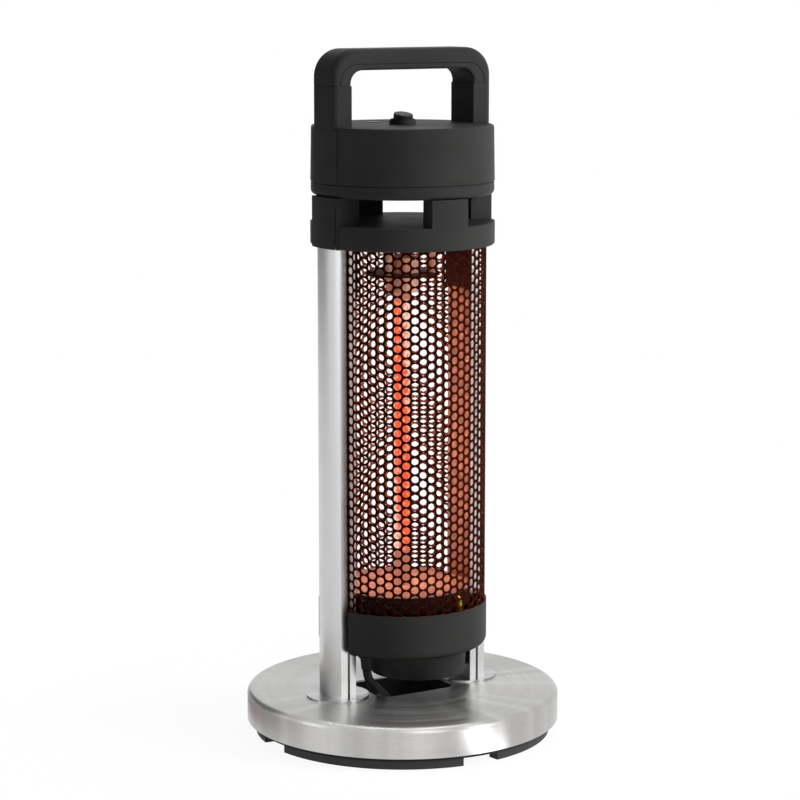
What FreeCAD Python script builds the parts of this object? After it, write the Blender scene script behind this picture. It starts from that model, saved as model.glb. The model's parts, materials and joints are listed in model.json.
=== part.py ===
import FreeCAD, Part
import math
import os
import re

import Sketcher

# Table-top infrared heater. Millimetres, +Z up, origin on the floor under the centre of the base.
# X runs through the two posts, and -Y is the side that faces the viewer.

# Driving sizes, one cell each
SIZES = {
    # Base
    "base_radius": 110.0,
    "cap_top": 30.5,
    "cap_rim": 9.0,
    "cap_wall": 1.2,
    "cap_edge_radius": 4.0,
    "hole_width": 48.0,
    "hole_corner": 10.0,
    "foot_height": 6.5,
    "foot_inset": 3.0,
    "foot_width": 8.5,
    "foot_angle": 75.0,
    "plate_inset": 3.0,
    "plate_thickness": 3.0,
    "plate_lip_height": 3.0,
    "plate_lip_wall": 2.0,
    "liner_wall": 2.0,
    "boss_inset": 22.0,
    "boss_radius": 5.5,
    "ballast_inset": 10.0,
    "ballast_thickness": 8.0,
    "cord_slot_place": 6.5,
    "cord_slot_width": 13.0,
    "cord_slot_height": 8.0,
    # Posts and their collars
    "collar_radius": 22.0,
    "collar_thickness": 1.0,
    "post_inset": 5.7,
    "post_outset": 6.0,
    "post_crown_radius": 38.0,
    "post_half_width": 15.5,
    "post_length": 343.5,
    "post_wall": 2.0,
    "slot_width": 1.8,
    "slot_depth": 5.0,
    "insert_length": 15.0,
    "bolt_radius": 3.0,
    "bolt_head_radius": 5.0,
    "bolt_head_height": 4.0,
    # Lower cup and terminal box
    "cup_cover": 1.2,
    "cup_rise": 32.4,
    "cup_height": 31.2,
    "cup_wall": 2.5,
    "cup_edge_radius": 5.0,
    "cup_end_gap": 4.3,
    "box_height": 22.4,
    "box_wall": 2.0,
    "box_gap": 1.0,
    "box_top_place": 3.5,
    "box_foot_place": 12.5,
    "gland_inset": 5.0,
    "gland_aside": 6.3,
    "gland_length": 10.3,
    "gland_neck_radius": 3.9,
    "gland_neck_inside": 3.0,
    "gland_flange_radius": 5.6,
    "gland_flange_height": 2.0,
    "gland_wall": 1.8,
    "gland_tip_wall": 0.6,
    # Grille
    "grille_radius": 58.0,
    "grille_sheet": 0.8,
    "shell_edge": 23.1635,
    "grille_in_cup": 6.0,
    "grille_in_collar": 5.2,
    "grille_columns": 9,
    "grille_rows": 13,
    "grille_hole_radius": 6.2,
    "grille_margin": 14.0,
    # Lamp, holders and shields
    "lamp_radius": 6.0,
    "lamp_wall": 1.0,
    "ribbon_width": 5.0,
    "ribbon_thickness": 0.8,
    "holder_radius": 11.0,
    "holder_height": 16.0,
    "upper_holder_height": 24.0,
    "upper_holder_drop": 12.0,
    "holder_socket": 8.0,
    "shield_gap": 10.0,
    "shield_thickness": 1.5,
    "shield_rim": 12.0,
    "upper_shield_radius": 26.0,
    "upper_shield_drop": 34.2,
    "bracket_drop": 33.0,
    "lower_shield_rise": 10.9,
    "standoff_radius": 3.0,
    "standoff_inset": 12.0,
    "hanger_inset": 5.0,
    "lead_radius": 1.3,
    "earth_wire_angle": -70.0,
    "earth_wire_gap": 3.5,
    "earth_wire_drop": 3.5,
    "earth_wire_bend": 3.0,
    # Vent collar
    "ring_cover": 1.7,
    "ring_height": 15.9,
    "ring_wall": 3.0,
    "ring_edge_radius": 2.0,
    "ring_plate": 3.0,
    "ring_pip_radius": 1.0,
    "socket_depth": 30.2,
    "column_proud": 0.4,
    "column_wall": 2.0,
    "window_height": 18.7,
    "spacer_width": 28.4,
    "spacer_depth": 11.1,
    # Head and handle
    "band_inset": 0.5,
    "band_height": 9.1,
    "band_edge_radius": 3.5,
    "head_inset": 0.2,
    "head_draft": 0.6,
    "head_height": 38.4,
    "head_wall": 2.5,
    "head_top": 3.0,
    "head_edge_radius": 2.0,
    "pilaster_half_width": 16.5,
    "pilaster_proud": 0.3,
    "leg_inset": 0.1,
    "leg_depth": 15.0,
    "leg_half_width": 14.5,
    "leg_edge_radius": 5.0,
    "leg_height": 27.5,
    "grip_rise": 24.5,
    "grip_bar": 14.3,
    "grip_outer_corner": 19.0,
    "grip_inner_corner": 9.0,
    "grip_edge_radius": 5.0,
    "grip_inner_edge": 2.0,
    "parting_on_leg": 8.7,
    "parting_on_bar": 4.0,
    "seam_round": 0.6,
    # Switch and indicator
    "bezel_radius": 9.25,
    "bezel_height": 2.5,
    "bezel_step_radius": 8.4,
    "bezel_step_height": 1.2,
    "bezel_bore": 7.6,
    "rocker_radius": 6.7,
    "rocker_below_pin": 2.0,
    "rocker_above_pin": 6.2,
    "rocker_edge_radius": 0.8,
    "rocker_tilt": 12.0,
    "pin_radius": 1.2,
    "pin_rise": 1.2,
    "pin_clearance": 0.05,
    "switch_body_radius": 8.1,
    "switch_body_depth": 22.0,
    "switch_well": 4.0,
    "lens_radius": 5.2,
    "lens_aside": 5.6,
    "lens_place": 31.4,
    "lens_proud": 0.3,
    "cutout_radius": 7.3,
    # Fasteners and clearances
    "screw_radius": 1.5,
    "screw_head_radius": 3.0,
    "screw_head_height": 2.0,
    "clearance": 0.25,
    # Cord, coil and plug
    "cord_radius": 3.1,
    "cord_gap": 0.6,
    "coil_pitch": 6.8,
    "coil_outer": 47.0,
    "coil_dip": 1.2,
    "coil_low": 4.6,
    "coil_x": 103.0,
    "coil_gap": 73.1,
    "coil_angle": 149.0,
    "tie_width": 9.0,
    "tie_strap": 1.0,
    "tie_gap": 0.9,
    "plug_axis": 18.3,
    "plug_radius": 18.0,
    "plug_face_depth": 17.0,
    "plug_neck": 20.0,
    "plug_neck_radius": 6.0,
    "plug_shoulder_radius": 12.0,
    "plug_pin_radius": 2.4,
    "plug_pin_length": 19.0,
    "plug_pin_spacing": 19.0,
}
COIL_HALF_TURNS = 6
HOLE_CORNERS = 6
CLOSE = 0.01
PARALLEL = 0.999

# Levels and places worked out from the driving sizes
PLACES = {
    "plate_radius": "base_radius - plate_inset",
    "foot_radius": "plate_radius - foot_inset",
    "ballast_radius": "base_radius - ballast_inset",
    "boss_circle": "ballast_radius - boss_inset",
    "hole_length": "2 * (post_middle - collar_radius)",
    "plate_top": "foot_height + plate_thickness",
    "ballast_top": "cap_top - cap_wall",
    "ballast_low": "ballast_top - ballast_thickness",
    "collar_top": "cap_top + collar_thickness",
    "post_top": "collar_top + post_length",
    "flange_place": "sqrt((grille_radius - grille_sheet)^2 - shell_edge^2)",
    "slot_place": "flange_place + grille_sheet / 2",
    "post_inner": "slot_place - post_inset",
    "post_flank": "slot_place + post_outset",
    "post_crown": "post_flank + post_crown_radius - sqrt(post_crown_radius^2 - post_half_width^2)",
    "post_middle": "(post_inner + post_flank) / 2",
    "cup_radius": "grille_radius + cup_cover",
    "cup_end_half_width": "post_half_width + cup_end_gap",
    "cup_low": "cap_top + cup_rise",
    "cup_floor": "cup_low + cup_wall",
    "cup_top": "cup_low + cup_height",
    "box_low": "cup_low - box_height",
    "box_top_radius": "post_inner - box_gap - box_top_place",
    "box_foot_radius": "post_inner - box_gap - box_foot_place",
    "gland_x": "-(post_inner - gland_inset)",
    "gland_y": "-(post_half_width + gland_aside)",
    "gland_low": "cup_low - gland_length",
    "grille_low": "cup_top - grille_in_cup",
    "grille_top": "ring_low + grille_in_collar",
    "ring_radius": "post_crown + ring_cover",
    "column_radius": "ring_radius + column_proud",
    "band_radius": "ring_radius - band_inset",
    "head_radius": "ring_radius - head_inset",
    "leg_outer": "head_radius - leg_inset",
    "leg_inner": "leg_outer - leg_depth",
    "ring_low": "post_top - socket_depth",
    "ring_top": "ring_low + ring_height",
    "window_top": "ring_top + window_height",
    "band_top": "window_top + band_height",
    "housing_top": "band_top + head_height",
    "leg_top": "housing_top + leg_height",
    "grip_top": "leg_top + grip_rise",
    "pin_height": "housing_top + pin_rise",
    "shield_radius": "grille_radius - shield_gap",
    "standoff_circle": "shield_radius - standoff_inset",
    "hanger_circle": "upper_shield_radius - hanger_inset",
    "lower_face": "cup_top + lower_shield_rise",
    "lower_rim": "lower_face - shield_rim",
    "lower_holder_top": "lower_face - shield_thickness",
    "upper_face": "ring_top - ring_plate - upper_shield_drop",
    "upper_holder_low": "upper_face - upper_holder_drop",
    "lamp_low": "lower_holder_top - holder_socket",
    "lamp_top": "upper_holder_low + holder_socket",
    "coil_y": "base_radius + coil_gap",
}

doc = FreeCAD.newDocument("TableHeater")
sheet = doc.addObject("Spreadsheet::Sheet", "Sizes")
for row, (size_name, size) in enumerate(SIZES.items(), start=1):
    sheet.set(f"A{row}", size_name)
    sheet.set(f"B{row}", str(size))
    sheet.setAlias(f"B{row}", size_name)
doc.recompute()
reader = doc.addObject("App::FeaturePython", "Reader")
sub_parts = []


# Reading sizes and binding them
def formula(text):
    """The text with every worked-out place written in full and every size looked up in the sheet."""
    def in_full(match):
        word = match.group(0)
        if word in PLACES:
            return f"({formula(PLACES[word])})"
        return f"Sizes.{word}" if word in SIZES else word
    return re.sub(r"[a-z_]+", in_full, text)


def value(text):
    return float(reader.evalExpression(formula(text)))


def bind(item, bound):
    for path, text in bound.items():
        item.setExpression(path, formula(text))
    return item


def sub_part(label, item):
    item.Label = label
    sub_parts.append(item)
    return item


def vector(x, y, z):
    return FreeCAD.Vector(value(x), value(y), value(z))


# Simple solids
def new(kind, name, bound, low):
    item = doc.addObject(kind, name)
    across, along, up = low
    return bind(item, {**bound, "Placement.Base.x": across, "Placement.Base.y": along,
                       "Placement.Base.z": up})


def block(name, low, length, width, height):
    return new("Part::Box", name, {"Length": length, "Width": width, "Height": height}, low)


def centred_block(name, middle, low, length, width, height):
    """Block with its middle at (x, y) and its underside at the height low."""
    x, y = middle
    return block(name, (f"{x} - ({length}) / 2", f"{y} - ({width}) / 2", low), length, width, height)


def rod(name, foot, radius, height):
    return new("Part::Cylinder", name, {"Radius": radius, "Height": height}, foot)


def cone(name, foot, low_radius, high_radius, height):
    return new("Part::Cone", name, {"Radius1": low_radius, "Radius2": high_radius, "Height": height}, foot)


def lay_along_x(item):
    """Turn a rod or cone from +Z to +X about its own foot."""
    item.Placement.Rotation = FreeCAD.Rotation(FreeCAD.Vector(0, 1, 0), 90)
    return item


def cut(name, base, *tools):
    item = doc.addObject("Part::Cut", name)
    item.Base = base
    item.Tool = tools[0] if len(tools) == 1 else join(name + "_tools", *tools)
    return item


def join(name, *pieces):
    item = doc.addObject("Part::MultiFuse", name)
    item.Shapes = list(pieces)
    return item


def shared(name, first, second):
    item = doc.addObject("Part::MultiCommon", name)
    item.Shapes = [first, second]
    return item


def group(name, *pieces):
    """Separate solids that share one node."""
    item = doc.addObject("Part::Compound", name)
    item.Links = list(pieces)
    return item


def on_both_sides(make, name, *sizes):
    """The same piece at the right post and at the left post."""
    return [make(f"{name}_right", "", *sizes), make(f"{name}_left", "-", *sizes)]


# Bodies made from sketches
def plane(body, role):
    return next(item for item in body.Origin.OriginFeatures if item.Role == role)


def arc_between(start, end, radius):
    """Short arc from start to end, on the right of the straight line between them."""
    chord = end - start
    middle = (start + end) * 0.5
    rise = radius - math.sqrt(radius ** 2 - (chord.Length / 2) ** 2)
    aside = FreeCAD.Vector(chord.y, -chord.x, 0).normalize()
    return Part.Arc(start, middle + aside * rise, end)


def outline(sketch, corners):
    """Closed outline through corners (across, up) or (across, up, radius of the arc to the next corner)."""
    points = [FreeCAD.Vector(value(corner[0]), value(corner[1]), 0) for corner in corners]
    lines = []
    for index, corner in enumerate(corners):
        start = points[index]
        end = points[(index + 1) % len(points)]
        if len(corner) == 3:
            lines.append(sketch.addGeometry(arc_between(start, end, value(corner[2]))))
        else:
            lines.append(sketch.addGeometry(Part.LineSegment(start, end)))

    def end_at(line, point):
        return 1 if (sketch.getPoint(line, 1) - point).Length < CLOSE else 2

    for index, corner in enumerate(corners):
        here = end_at(lines[index], points[index])
        before = end_at(lines[index - 1], points[index])
        sketch.addConstraint(Sketcher.Constraint("Coincident", lines[index - 1], before, lines[index], here))
        for kind, axis, size in (("DistanceX", -2, corner[0]), ("DistanceY", -1, corner[1])):
            if size == "0":
                sketch.addConstraint(Sketcher.Constraint("PointOnObject", lines[index], here, axis))
                continue
            rule = Sketcher.Constraint(kind, -1, 1, lines[index], here, value(size))
            sketch.setExpression(f"Constraints[{sketch.addConstraint(rule)}]", formula(size))
        if len(corner) == 3:
            rule = Sketcher.Constraint("Radius", lines[index], value(corner[2]))
            sketch.setExpression(f"Constraints[{sketch.addConstraint(rule)}]", formula(corner[2]))


def sketch_in(body, name, role, corners, height="0"):
    sketch = body.newObject("Sketcher::SketchObject", name)
    sketch.AttachmentSupport = (plane(body, role), [""])
    sketch.MapMode = "FlatFace"
    sketch.setExpression("AttachmentOffset.Base.z", formula(height))
    outline(sketch, corners)
    return sketch


def turned(name, corners):
    """Body turned about the Z axis from an outline of (radius, height) corners."""
    body = doc.addObject("PartDesign::Body", name)
    sketch = sketch_in(body, name + "_profile", "XZ_Plane", corners)
    turn = body.newObject("PartDesign::Revolution", name + "_turn")
    turn.Profile = sketch
    turn.ReferenceAxis = (sketch, ["V_Axis"])
    turn.Angle = 360
    doc.recompute()
    return body


def padded(name, role, corners, length, low="0", middle=False):
    body = doc.addObject("PartDesign::Body", name)
    sketch = sketch_in(body, name + "_outline", role, corners, low)
    pad = body.newObject("PartDesign::Pad", name + "_pad")
    pad.Profile = sketch
    pad.Midplane = middle
    pad.setExpression("Length", formula(length))
    doc.recompute()
    return body


def round_edges(body, name, radius, wanted):
    """Round the edges of the body whose middle point passes the test."""
    tip = body.Tip
    names = []
    for index, edge in enumerate(tip.Shape.Edges, start=1):
        middle = edge.valueAt((edge.FirstParameter + edge.LastParameter) / 2)
        if wanted(edge, middle):
            names.append(f"Edge{index}")
    fillet = body.newObject("PartDesign::Fillet", name)
    fillet.Base = (tip, names)
    fillet.setExpression("Radius", formula(radius))
    body.Tip = fillet
    doc.recompute()


def upright(edge):
    return abs(edge.tangentAt(edge.FirstParameter).z) > PARALLEL


def rounded_hole(name, growth, low, height):
    """Prism of the rounded rectangular hole of the base, grown on every side."""
    half_length = f"(hole_length / 2 + {growth})"
    half_width = f"(hole_width / 2 + {growth})"
    body = padded(name, "XY_Plane",
                  [(f"-{half_length}", f"-{half_width}"), (half_length, f"-{half_width}"),
                   (half_length, half_width), (f"-{half_length}", half_width)], height, low)
    round_edges(body, name + "_corners", f"hole_corner + {growth}", lambda edge, middle: upright(edge))
    return body


# Base
def base_cap():
    shell = turned("cap_shell", [
        ("0", "cap_top - cap_wall"),
        ("base_radius - cap_edge_radius", "cap_top - cap_wall"),
        ("base_radius - cap_wall", "cap_top - cap_edge_radius"),
        ("base_radius - cap_wall", "cap_rim"),
        ("base_radius", "cap_rim"),
        ("base_radius", "cap_top - cap_edge_radius", "cap_edge_radius"),
        ("base_radius - cap_edge_radius", "cap_top"),
        ("0", "cap_top")])
    hole = rounded_hole("cap_hole", "0", "ballast_low", "2 * ballast_thickness")
    bolts = on_both_sides(bolt_hole, "cap_bolt_hole")
    return sub_part("base_cap", cut("cap", shell, hole, *bolts))


def bolt_hole(name, side):
    return rod(name, (f"{side}post_middle", "0", "cap_rim"), "bolt_radius + clearance", "collar_top")


def boss_places():
    reach = "boss_circle * cos(45)"
    return [(f"{x}{reach}", f"{y}{reach}") for x in ("", "-") for y in ("", "-")]


def base_plate():
    disc = turned("plate_disc", [
        ("0", "foot_height"),
        ("plate_radius", "foot_height"),
        ("plate_radius", "cap_rim"),
        ("base_radius - cap_wall - clearance", "cap_rim"),
        ("base_radius - cap_wall - clearance", "plate_top + plate_lip_height"),
        ("base_radius - cap_wall - clearance - plate_lip_wall", "plate_top + plate_lip_height"),
        ("base_radius - cap_wall - clearance - plate_lip_wall", "plate_top"),
        ("0", "plate_top")])
    liner = rounded_hole("plate_liner", "liner_wall", "foot_height", "ballast_top - foot_height")
    bosses = [rod(f"plate_boss_{n}", (x, y, "foot_height"), "boss_radius", "ballast_low - foot_height")
              for n, (x, y) in enumerate(boss_places(), start=1)]
    hole = rounded_hole("plate_hole", "0", "0", "cap_top")
    slot = block("plate_cord_slot", ("cord_slot_place - cord_slot_width / 2", "0", "0"),
                 "cord_slot_width", "base_radius", "foot_height + cord_slot_height")
    bores = [rod(f"plate_bore_{n}", (x, y, "0"), "screw_radius + clearance", "cap_top")
             for n, (x, y) in enumerate(boss_places(), start=1)]
    sinks = [rod(f"plate_sink_{n}", (x, y, "0"), "screw_head_radius + clearance",
                 "foot_height + screw_head_height")
             for n, (x, y) in enumerate(boss_places(), start=1)]
    return sub_part("base_plate", cut("plate", join("plate_whole", disc, liner, *bosses),
                                      hole, slot, *bores, *sinks))


def base_feet():
    for number in range(4):
        outer = rod(f"foot_outer_{number}", ("0", "0", "0"), "foot_radius", "foot_height")
        outer.setExpression("Angle", formula("foot_angle"))
        outer.setExpression("Placement.Rotation.Angle", formula(f"{90 * number + 45} - foot_angle / 2"))
        inner = rod(f"foot_inner_{number}", ("0", "0", "0"), "foot_radius - foot_width", "foot_height")
        sub_part(f"base_foot_{number + 1}", cut(f"foot_{number}", outer, inner))


def ballast_plate():
    disc = rod("ballast_disc", ("0", "0", "ballast_low"), "ballast_radius", "ballast_thickness")
    hole = rounded_hole("ballast_hole", "liner_wall + clearance", "cap_rim", "cap_top")
    bolts = on_both_sides(bolt_hole, "ballast_bolt_hole")
    bores = [rod(f"ballast_bore_{n}", (x, y, "cap_rim"), "screw_radius + clearance", "cap_top")
             for n, (x, y) in enumerate(boss_places(), start=1)]
    return sub_part("ballast_plate", cut("ballast", disc, hole, *bolts, *bores))


def base_screws():
    screws = []
    for n, (x, y) in enumerate(boss_places(), start=1):
        head = rod(f"base_screw_head_{n}", (x, y, "foot_height"), "screw_head_radius", "screw_head_height")
        shank = rod(f"base_screw_shank_{n}", (x, y, "foot_height"), "screw_radius",
                    "ballast_top - foot_height")
        screws.append(join(f"base_screw_{n}", head, shank))
    return sub_part("base_screws", group("base_screw_set", *screws))


# Posts
def post_collars():
    for name, side in (("right", ""), ("left", "-")):
        disc = rod(f"collar_disc_{name}", (f"{side}post_middle", "0", "cap_top"), "collar_radius",
                   "collar_thickness")
        hole = bolt_hole(f"collar_hole_{name}", side)
        sub_part(f"post_collar_{name}", cut(f"collar_{name}", disc, hole))


def post(name, turn):
    """Extrusion with a crowned outer face, a slot in each flank and a chamber for the wires."""
    slot_in = "slot_place - slot_width / 2"
    slot_out = "slot_place + slot_width / 2"
    slot_floor = "post_half_width - slot_depth"
    body = padded(f"{name}_profile", "XY_Plane", [
        ("post_inner", "-post_half_width"),
        (slot_in, "-post_half_width"),
        (slot_in, f"-({slot_floor})"),
        (slot_out, f"-({slot_floor})"),
        (slot_out, "-post_half_width"),
        ("post_flank", "-post_half_width", "post_crown_radius"),
        ("post_flank", "post_half_width"),
        (slot_out, "post_half_width"),
        (slot_out, slot_floor),
        (slot_in, slot_floor),
        (slot_in, "post_half_width"),
        ("post_inner", "post_half_width")], "post_length", "collar_top")
    chamber = sketch_in(body, f"{name}_chamber", "XY_Plane", chamber_corners("0"), "collar_top")
    bore = body.newObject("PartDesign::Pocket", f"{name}_bore")
    bore.Profile = chamber
    bore.Type = "ThroughAll"
    bore.Reversed = True
    body.Placement.Rotation = FreeCAD.Rotation(FreeCAD.Vector(0, 0, 1), turn)
    doc.recompute()
    return sub_part(name, body)


def chamber_corners(gap):
    low = f"(post_inner + post_wall + {gap})"
    high = f"(post_flank - {gap})"
    half = f"(post_half_width - slot_depth - post_wall - {gap})"
    return [(low, f"-{half}"), (high, f"-{half}"), (high, half), (low, half)]


def insert(name, side, low, bore_radius):
    """Block in the end of a post's chamber, threaded for the bolt or screw."""
    length = "post_flank - post_inner - post_wall - 2 * clearance"
    width = "2 * (post_half_width - slot_depth - post_wall - clearance)"
    middle = f"{side}(post_inner + post_wall + post_flank) / 2"
    body = centred_block(f"{name}_block", (middle, "0"), low, length, width, "insert_length")
    bore = rod(f"{name}_bore", (f"{side}post_middle", "0", low), bore_radius, "insert_length")
    return cut(name, body, bore)


def bolt(name, side):
    head = rod(f"{name}_head", (f"{side}post_middle", "0", "ballast_low - bolt_head_height"),
               "bolt_head_radius", "bolt_head_height")
    shank = rod(f"{name}_shank", (f"{side}post_middle", "0", "ballast_low"), "bolt_radius - clearance / 2",
                "collar_top + insert_length - ballast_low")
    return join(name, head, shank)


def top_screw(name, side):
    head = rod(f"{name}_head", (f"{side}post_middle", "0", "window_top + ring_plate"), "screw_head_radius",
               "screw_head_height")
    shank = rod(f"{name}_shank", (f"{side}post_middle", "0", "post_top - insert_length"),
                "screw_radius - clearance / 2", "window_top + ring_plate - post_top + insert_length")
    return join(name, head, shank)


def post_fasteners():
    sub_part("post_inserts", group("insert_set", *on_both_sides(insert, "insert", "collar_top",
                                                               "bolt_radius")))
    sub_part("post_bolts", group("bolt_set", *on_both_sides(bolt, "bolt")))
    sub_part("post_top_inserts", group("top_insert_set", *on_both_sides(
        insert, "top_insert", "post_top - insert_length", "screw_radius")))
    sub_part("post_top_screws", group("top_screw_set", *on_both_sides(top_screw, "top_screw")))


# Lower cup, terminal box and gland
def cup_notches(name, growth, low, height):
    """Room for the posts in the cup: close round the inner half, wider where the wall ends."""
    inner = f"post_inner - clearance - {growth}"
    half = f"(post_half_width + clearance + {growth})"
    wide_from = f"flange_place - clearance - {growth}"
    wide_half = f"(cup_end_half_width + {growth})"
    notches = []
    for side, mirror in (("right", ""), ("left", "-")):
        for step, start, reach in (("close", inner, half), ("wide", wide_from, wide_half)):
            length = f"(cup_radius - ({start}))"
            middle = f"{mirror}(cup_radius + ({start})) / 2"
            notches.append(centred_block(f"{name}_{step}_{side}", (middle, "0"), low, length,
                                         f"2 * {reach}", height))
    return notches


def lower_cup():
    body = turned("cup_body", [
        ("0", "cup_low"),
        ("cup_radius - cup_edge_radius", "cup_low", "cup_edge_radius"),
        ("cup_radius", "cup_low + cup_edge_radius"),
        ("cup_radius", "cup_top"),
        ("0", "cup_top")])
    outside = cut("cup_outside", body, *cup_notches("cup_notch", "0", "cup_low", "cup_height"))
    room = rod("cup_room", ("0", "0", "cup_floor"), "cup_radius - cup_wall", "cup_height")
    inside = cut("cup_inside", room, *cup_notches("cup_room_notch", "cup_wall", "cup_floor", "cup_height"))
    gland_hole = rod("cup_gland_hole", ("gland_x", "gland_y", "cup_low"),
                     "gland_neck_radius + clearance", "cup_wall")
    wire_hole = rod("cup_wire_hole", ("box_top_place", "0", "cup_low"), "holder_radius", "cup_wall")
    screws = on_both_sides(cup_screw_bore, "cup_bore")
    seats = [half_shell(f"cup_seat_{name}", side, "clearance", "grille_low - clearance", "cup_height")
             for name, side in (("rear", ""), ("front", "-"))]
    return sub_part("lower_cup", cut("cup", outside, inside, gland_hole, wire_hole, *screws, *seats))


def cup_screw_rod(name, side, radius, start, length):
    turn = lay_along_x(rod(name, (f"{side}({start})", "0", "cup_low + cup_height / 2"), radius, length))
    if side:
        turn.Placement.Rotation = FreeCAD.Rotation(FreeCAD.Vector(0, 1, 0), -90)
    return turn


def cup_screw_bore(name, side):
    return cup_screw_rod(name, side, "screw_radius + clearance", "post_inner - 2 * cup_wall", "2 * cup_wall")


def cup_screw(name, side):
    """Set screw through the cup's notch wall against the inner face of the post."""
    start = "post_inner - clearance - cup_wall"
    shank = cup_screw_rod(f"{name}_shank", side, "screw_radius", start, "cup_wall + clearance")
    head = cup_screw_rod(f"{name}_head", side, "screw_head_radius", f"{start} - screw_head_height",
                         "screw_head_height")
    return join(name, shank, head)


def slanted_tub(name, inset, low, high):
    """Loft between the box's small foot circle and its larger top circle, inset by a wall."""
    circles = []
    share_height = value("box_height")
    for end, height in (("foot", low), ("top", high)):
        share = (value(height) - value("box_low")) / share_height
        place = value("box_foot_place") + share * value("box_top_place - box_foot_place")
        radius = value("box_foot_radius") + share * value("box_top_radius - box_foot_radius") - value(inset)
        circle = doc.addObject("Part::Circle", f"{name}_{end}")
        circle.Radius = radius
        circle.Placement.Base = FreeCAD.Vector(place, 0, value(height))
        circles.append(circle)
    loft = doc.addObject("Part::Loft", name)
    loft.Sections = circles
    loft.Solid = True
    return loft


def terminal_box():
    outside = slanted_tub("box_outside", "0", "box_low", "cup_low")
    inside = slanted_tub("box_inside", "box_wall", "box_low + box_wall", "cup_low")
    return sub_part("terminal_box", cut("box_shell", outside, inside))


def cable_gland():
    sleeve = cone("gland_sleeve", ("gland_x", "gland_y", "gland_low"), "cord_radius + gland_tip_wall",
                  "cord_radius + gland_wall", "gland_length")
    neck = rod("gland_neck", ("gland_x", "gland_y", "cup_low - gland_flange_height"), "gland_neck_radius",
               "gland_flange_height + cup_wall + gland_neck_inside")
    flange = rod("gland_flange", ("gland_x", "gland_y", "cup_low - gland_flange_height"),
                 "gland_flange_radius", "gland_flange_height")
    return sub_part("cable_gland", join("gland", sleeve, neck, flange))


def inner_electrics():
    """Sealed pieces that join the cord to the lamp and switch it off if the heater falls or overheats."""
    sub_part("terminal_block", centred_block("terminals", ("0", "post_half_width + 2 * cup_wall"), "cup_floor",
                                             "2 * post_half_width", "post_half_width", "cup_height / 2"))
    sub_part("tip_over_switch", rod("tip_over_can", ("box_foot_place", "0", "box_low + box_wall"),
                                    "holder_radius", "box_height / 2"))
    sub_part("thermal_cutout", rod("cutout_can", ("0", "post_inner / 2", "window_top + ring_plate"),
                                   "cutout_radius", "band_height - ring_plate"))


# Grilles
def half_shell(name, side, growth, low, height):
    """Round half shell with a straight edge at each post, thicker by a growth on both faces."""
    outer = rod(f"{name}_outer", ("0", "0", low), f"grille_radius + {growth}", height)
    inner = rod(f"{name}_inner", ("0", "0", low), f"grille_radius - grille_sheet - {growth}", height)
    ring = cut(f"{name}_ring", outer, inner)
    depth = f"(grille_radius + {growth} - shell_edge)"
    half = centred_block(f"{name}_half", ("0", f"{side}(shell_edge + {depth} / 2)"), low,
                         "3 * grille_radius", depth, height)
    shell = shared(f"{name}_shell", ring, half)
    reach = "(shell_edge - (post_half_width - slot_depth + clearance) + grille_sheet / 2)"
    flange_middle = f"{side}(shell_edge + grille_sheet / 2 - {reach} / 2)"
    flanges = [centred_block(f"{name}_flange_{edge}", (f"{mirror}slot_place", flange_middle), low,
                             f"grille_sheet + 2 * {growth}", reach, height)
               for edge, mirror in (("right", ""), ("left", "-"))]
    return join(f"{name}_plain", shell, *flanges)


def grille(name, side):
    """Perforated half shell with plain straight edges that stand in the slots of the posts."""
    plain = half_shell(name, side, "0", "grille_low", "grille_top - grille_low")
    holes = doc.addObject("Part::Feature", f"{name}_holes")
    holes.Shape = perforation(-90 if side else 90)
    return sub_part(name, cut(f"{name}_sheet", plain, holes))


def perforation(facing):
    """Six-sided punches in staggered columns round the half shell that faces the given direction."""
    columns = int(value("grille_columns"))
    rows = int(value("grille_rows"))
    radius = value("grille_hole_radius")
    reach = value("grille_radius")
    low = value("grille_low + grille_in_cup + grille_margin")
    pitch = (value("grille_top - grille_in_collar - grille_margin") - low) / (rows - 0.5)
    half_angle = math.degrees(math.acos(value("shell_edge / grille_radius")))
    spread = 2 * (half_angle - math.degrees(value("grille_margin / grille_radius")))
    punches = []
    for column in range(columns):
        angle = facing + spread * (column / (columns - 1) - 0.5)
        for line in range(rows):
            height = low + pitch * (line + 0.5 * (column % 2))
            corners = [FreeCAD.Vector(reach / 2, radius * math.sin(math.tau * k / HOLE_CORNERS),
                                      height + radius * math.cos(math.tau * k / HOLE_CORNERS))
                       for k in range(HOLE_CORNERS + 1)]
            punch = Part.Face(Part.makePolygon(corners)).extrude(FreeCAD.Vector(reach, 0, 0))
            punch.rotate(FreeCAD.Vector(0, 0, 0), FreeCAD.Vector(0, 0, 1), angle)
            punches.append(punch)
    return Part.makeCompound(punches)


# Lamp
def lamp():
    outer = rod("tube_outer", ("0", "0", "lamp_low"), "lamp_radius", "lamp_top - lamp_low")
    inner = rod("tube_inner", ("0", "0", "lamp_low"), "lamp_radius - lamp_wall", "lamp_top - lamp_low")
    sub_part("quartz_tube", cut("tube", outer, inner))
    sub_part("heating_ribbon", centred_block("ribbon", ("0", "0"), "lamp_low", "ribbon_width",
                                             "ribbon_thickness", "lamp_top - lamp_low"))
    holder("lower_lamp_holder", "lower_holder_top - holder_height", "holder_height", "lamp_low")
    holder("upper_lamp_holder", "upper_holder_low", "upper_holder_height", "upper_holder_low")


def holder(name, low, height, socket_low):
    """Ceramic holder with a socket for the end of the tube."""
    body = rod(f"{name}_body", ("0", "0", low), "holder_radius", height)
    socket = rod(f"{name}_socket", ("0", "0", socket_low), "lamp_radius + clearance / 2", "holder_socket")
    return sub_part(name, cut(f"{name}_whole", body, socket))


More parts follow.
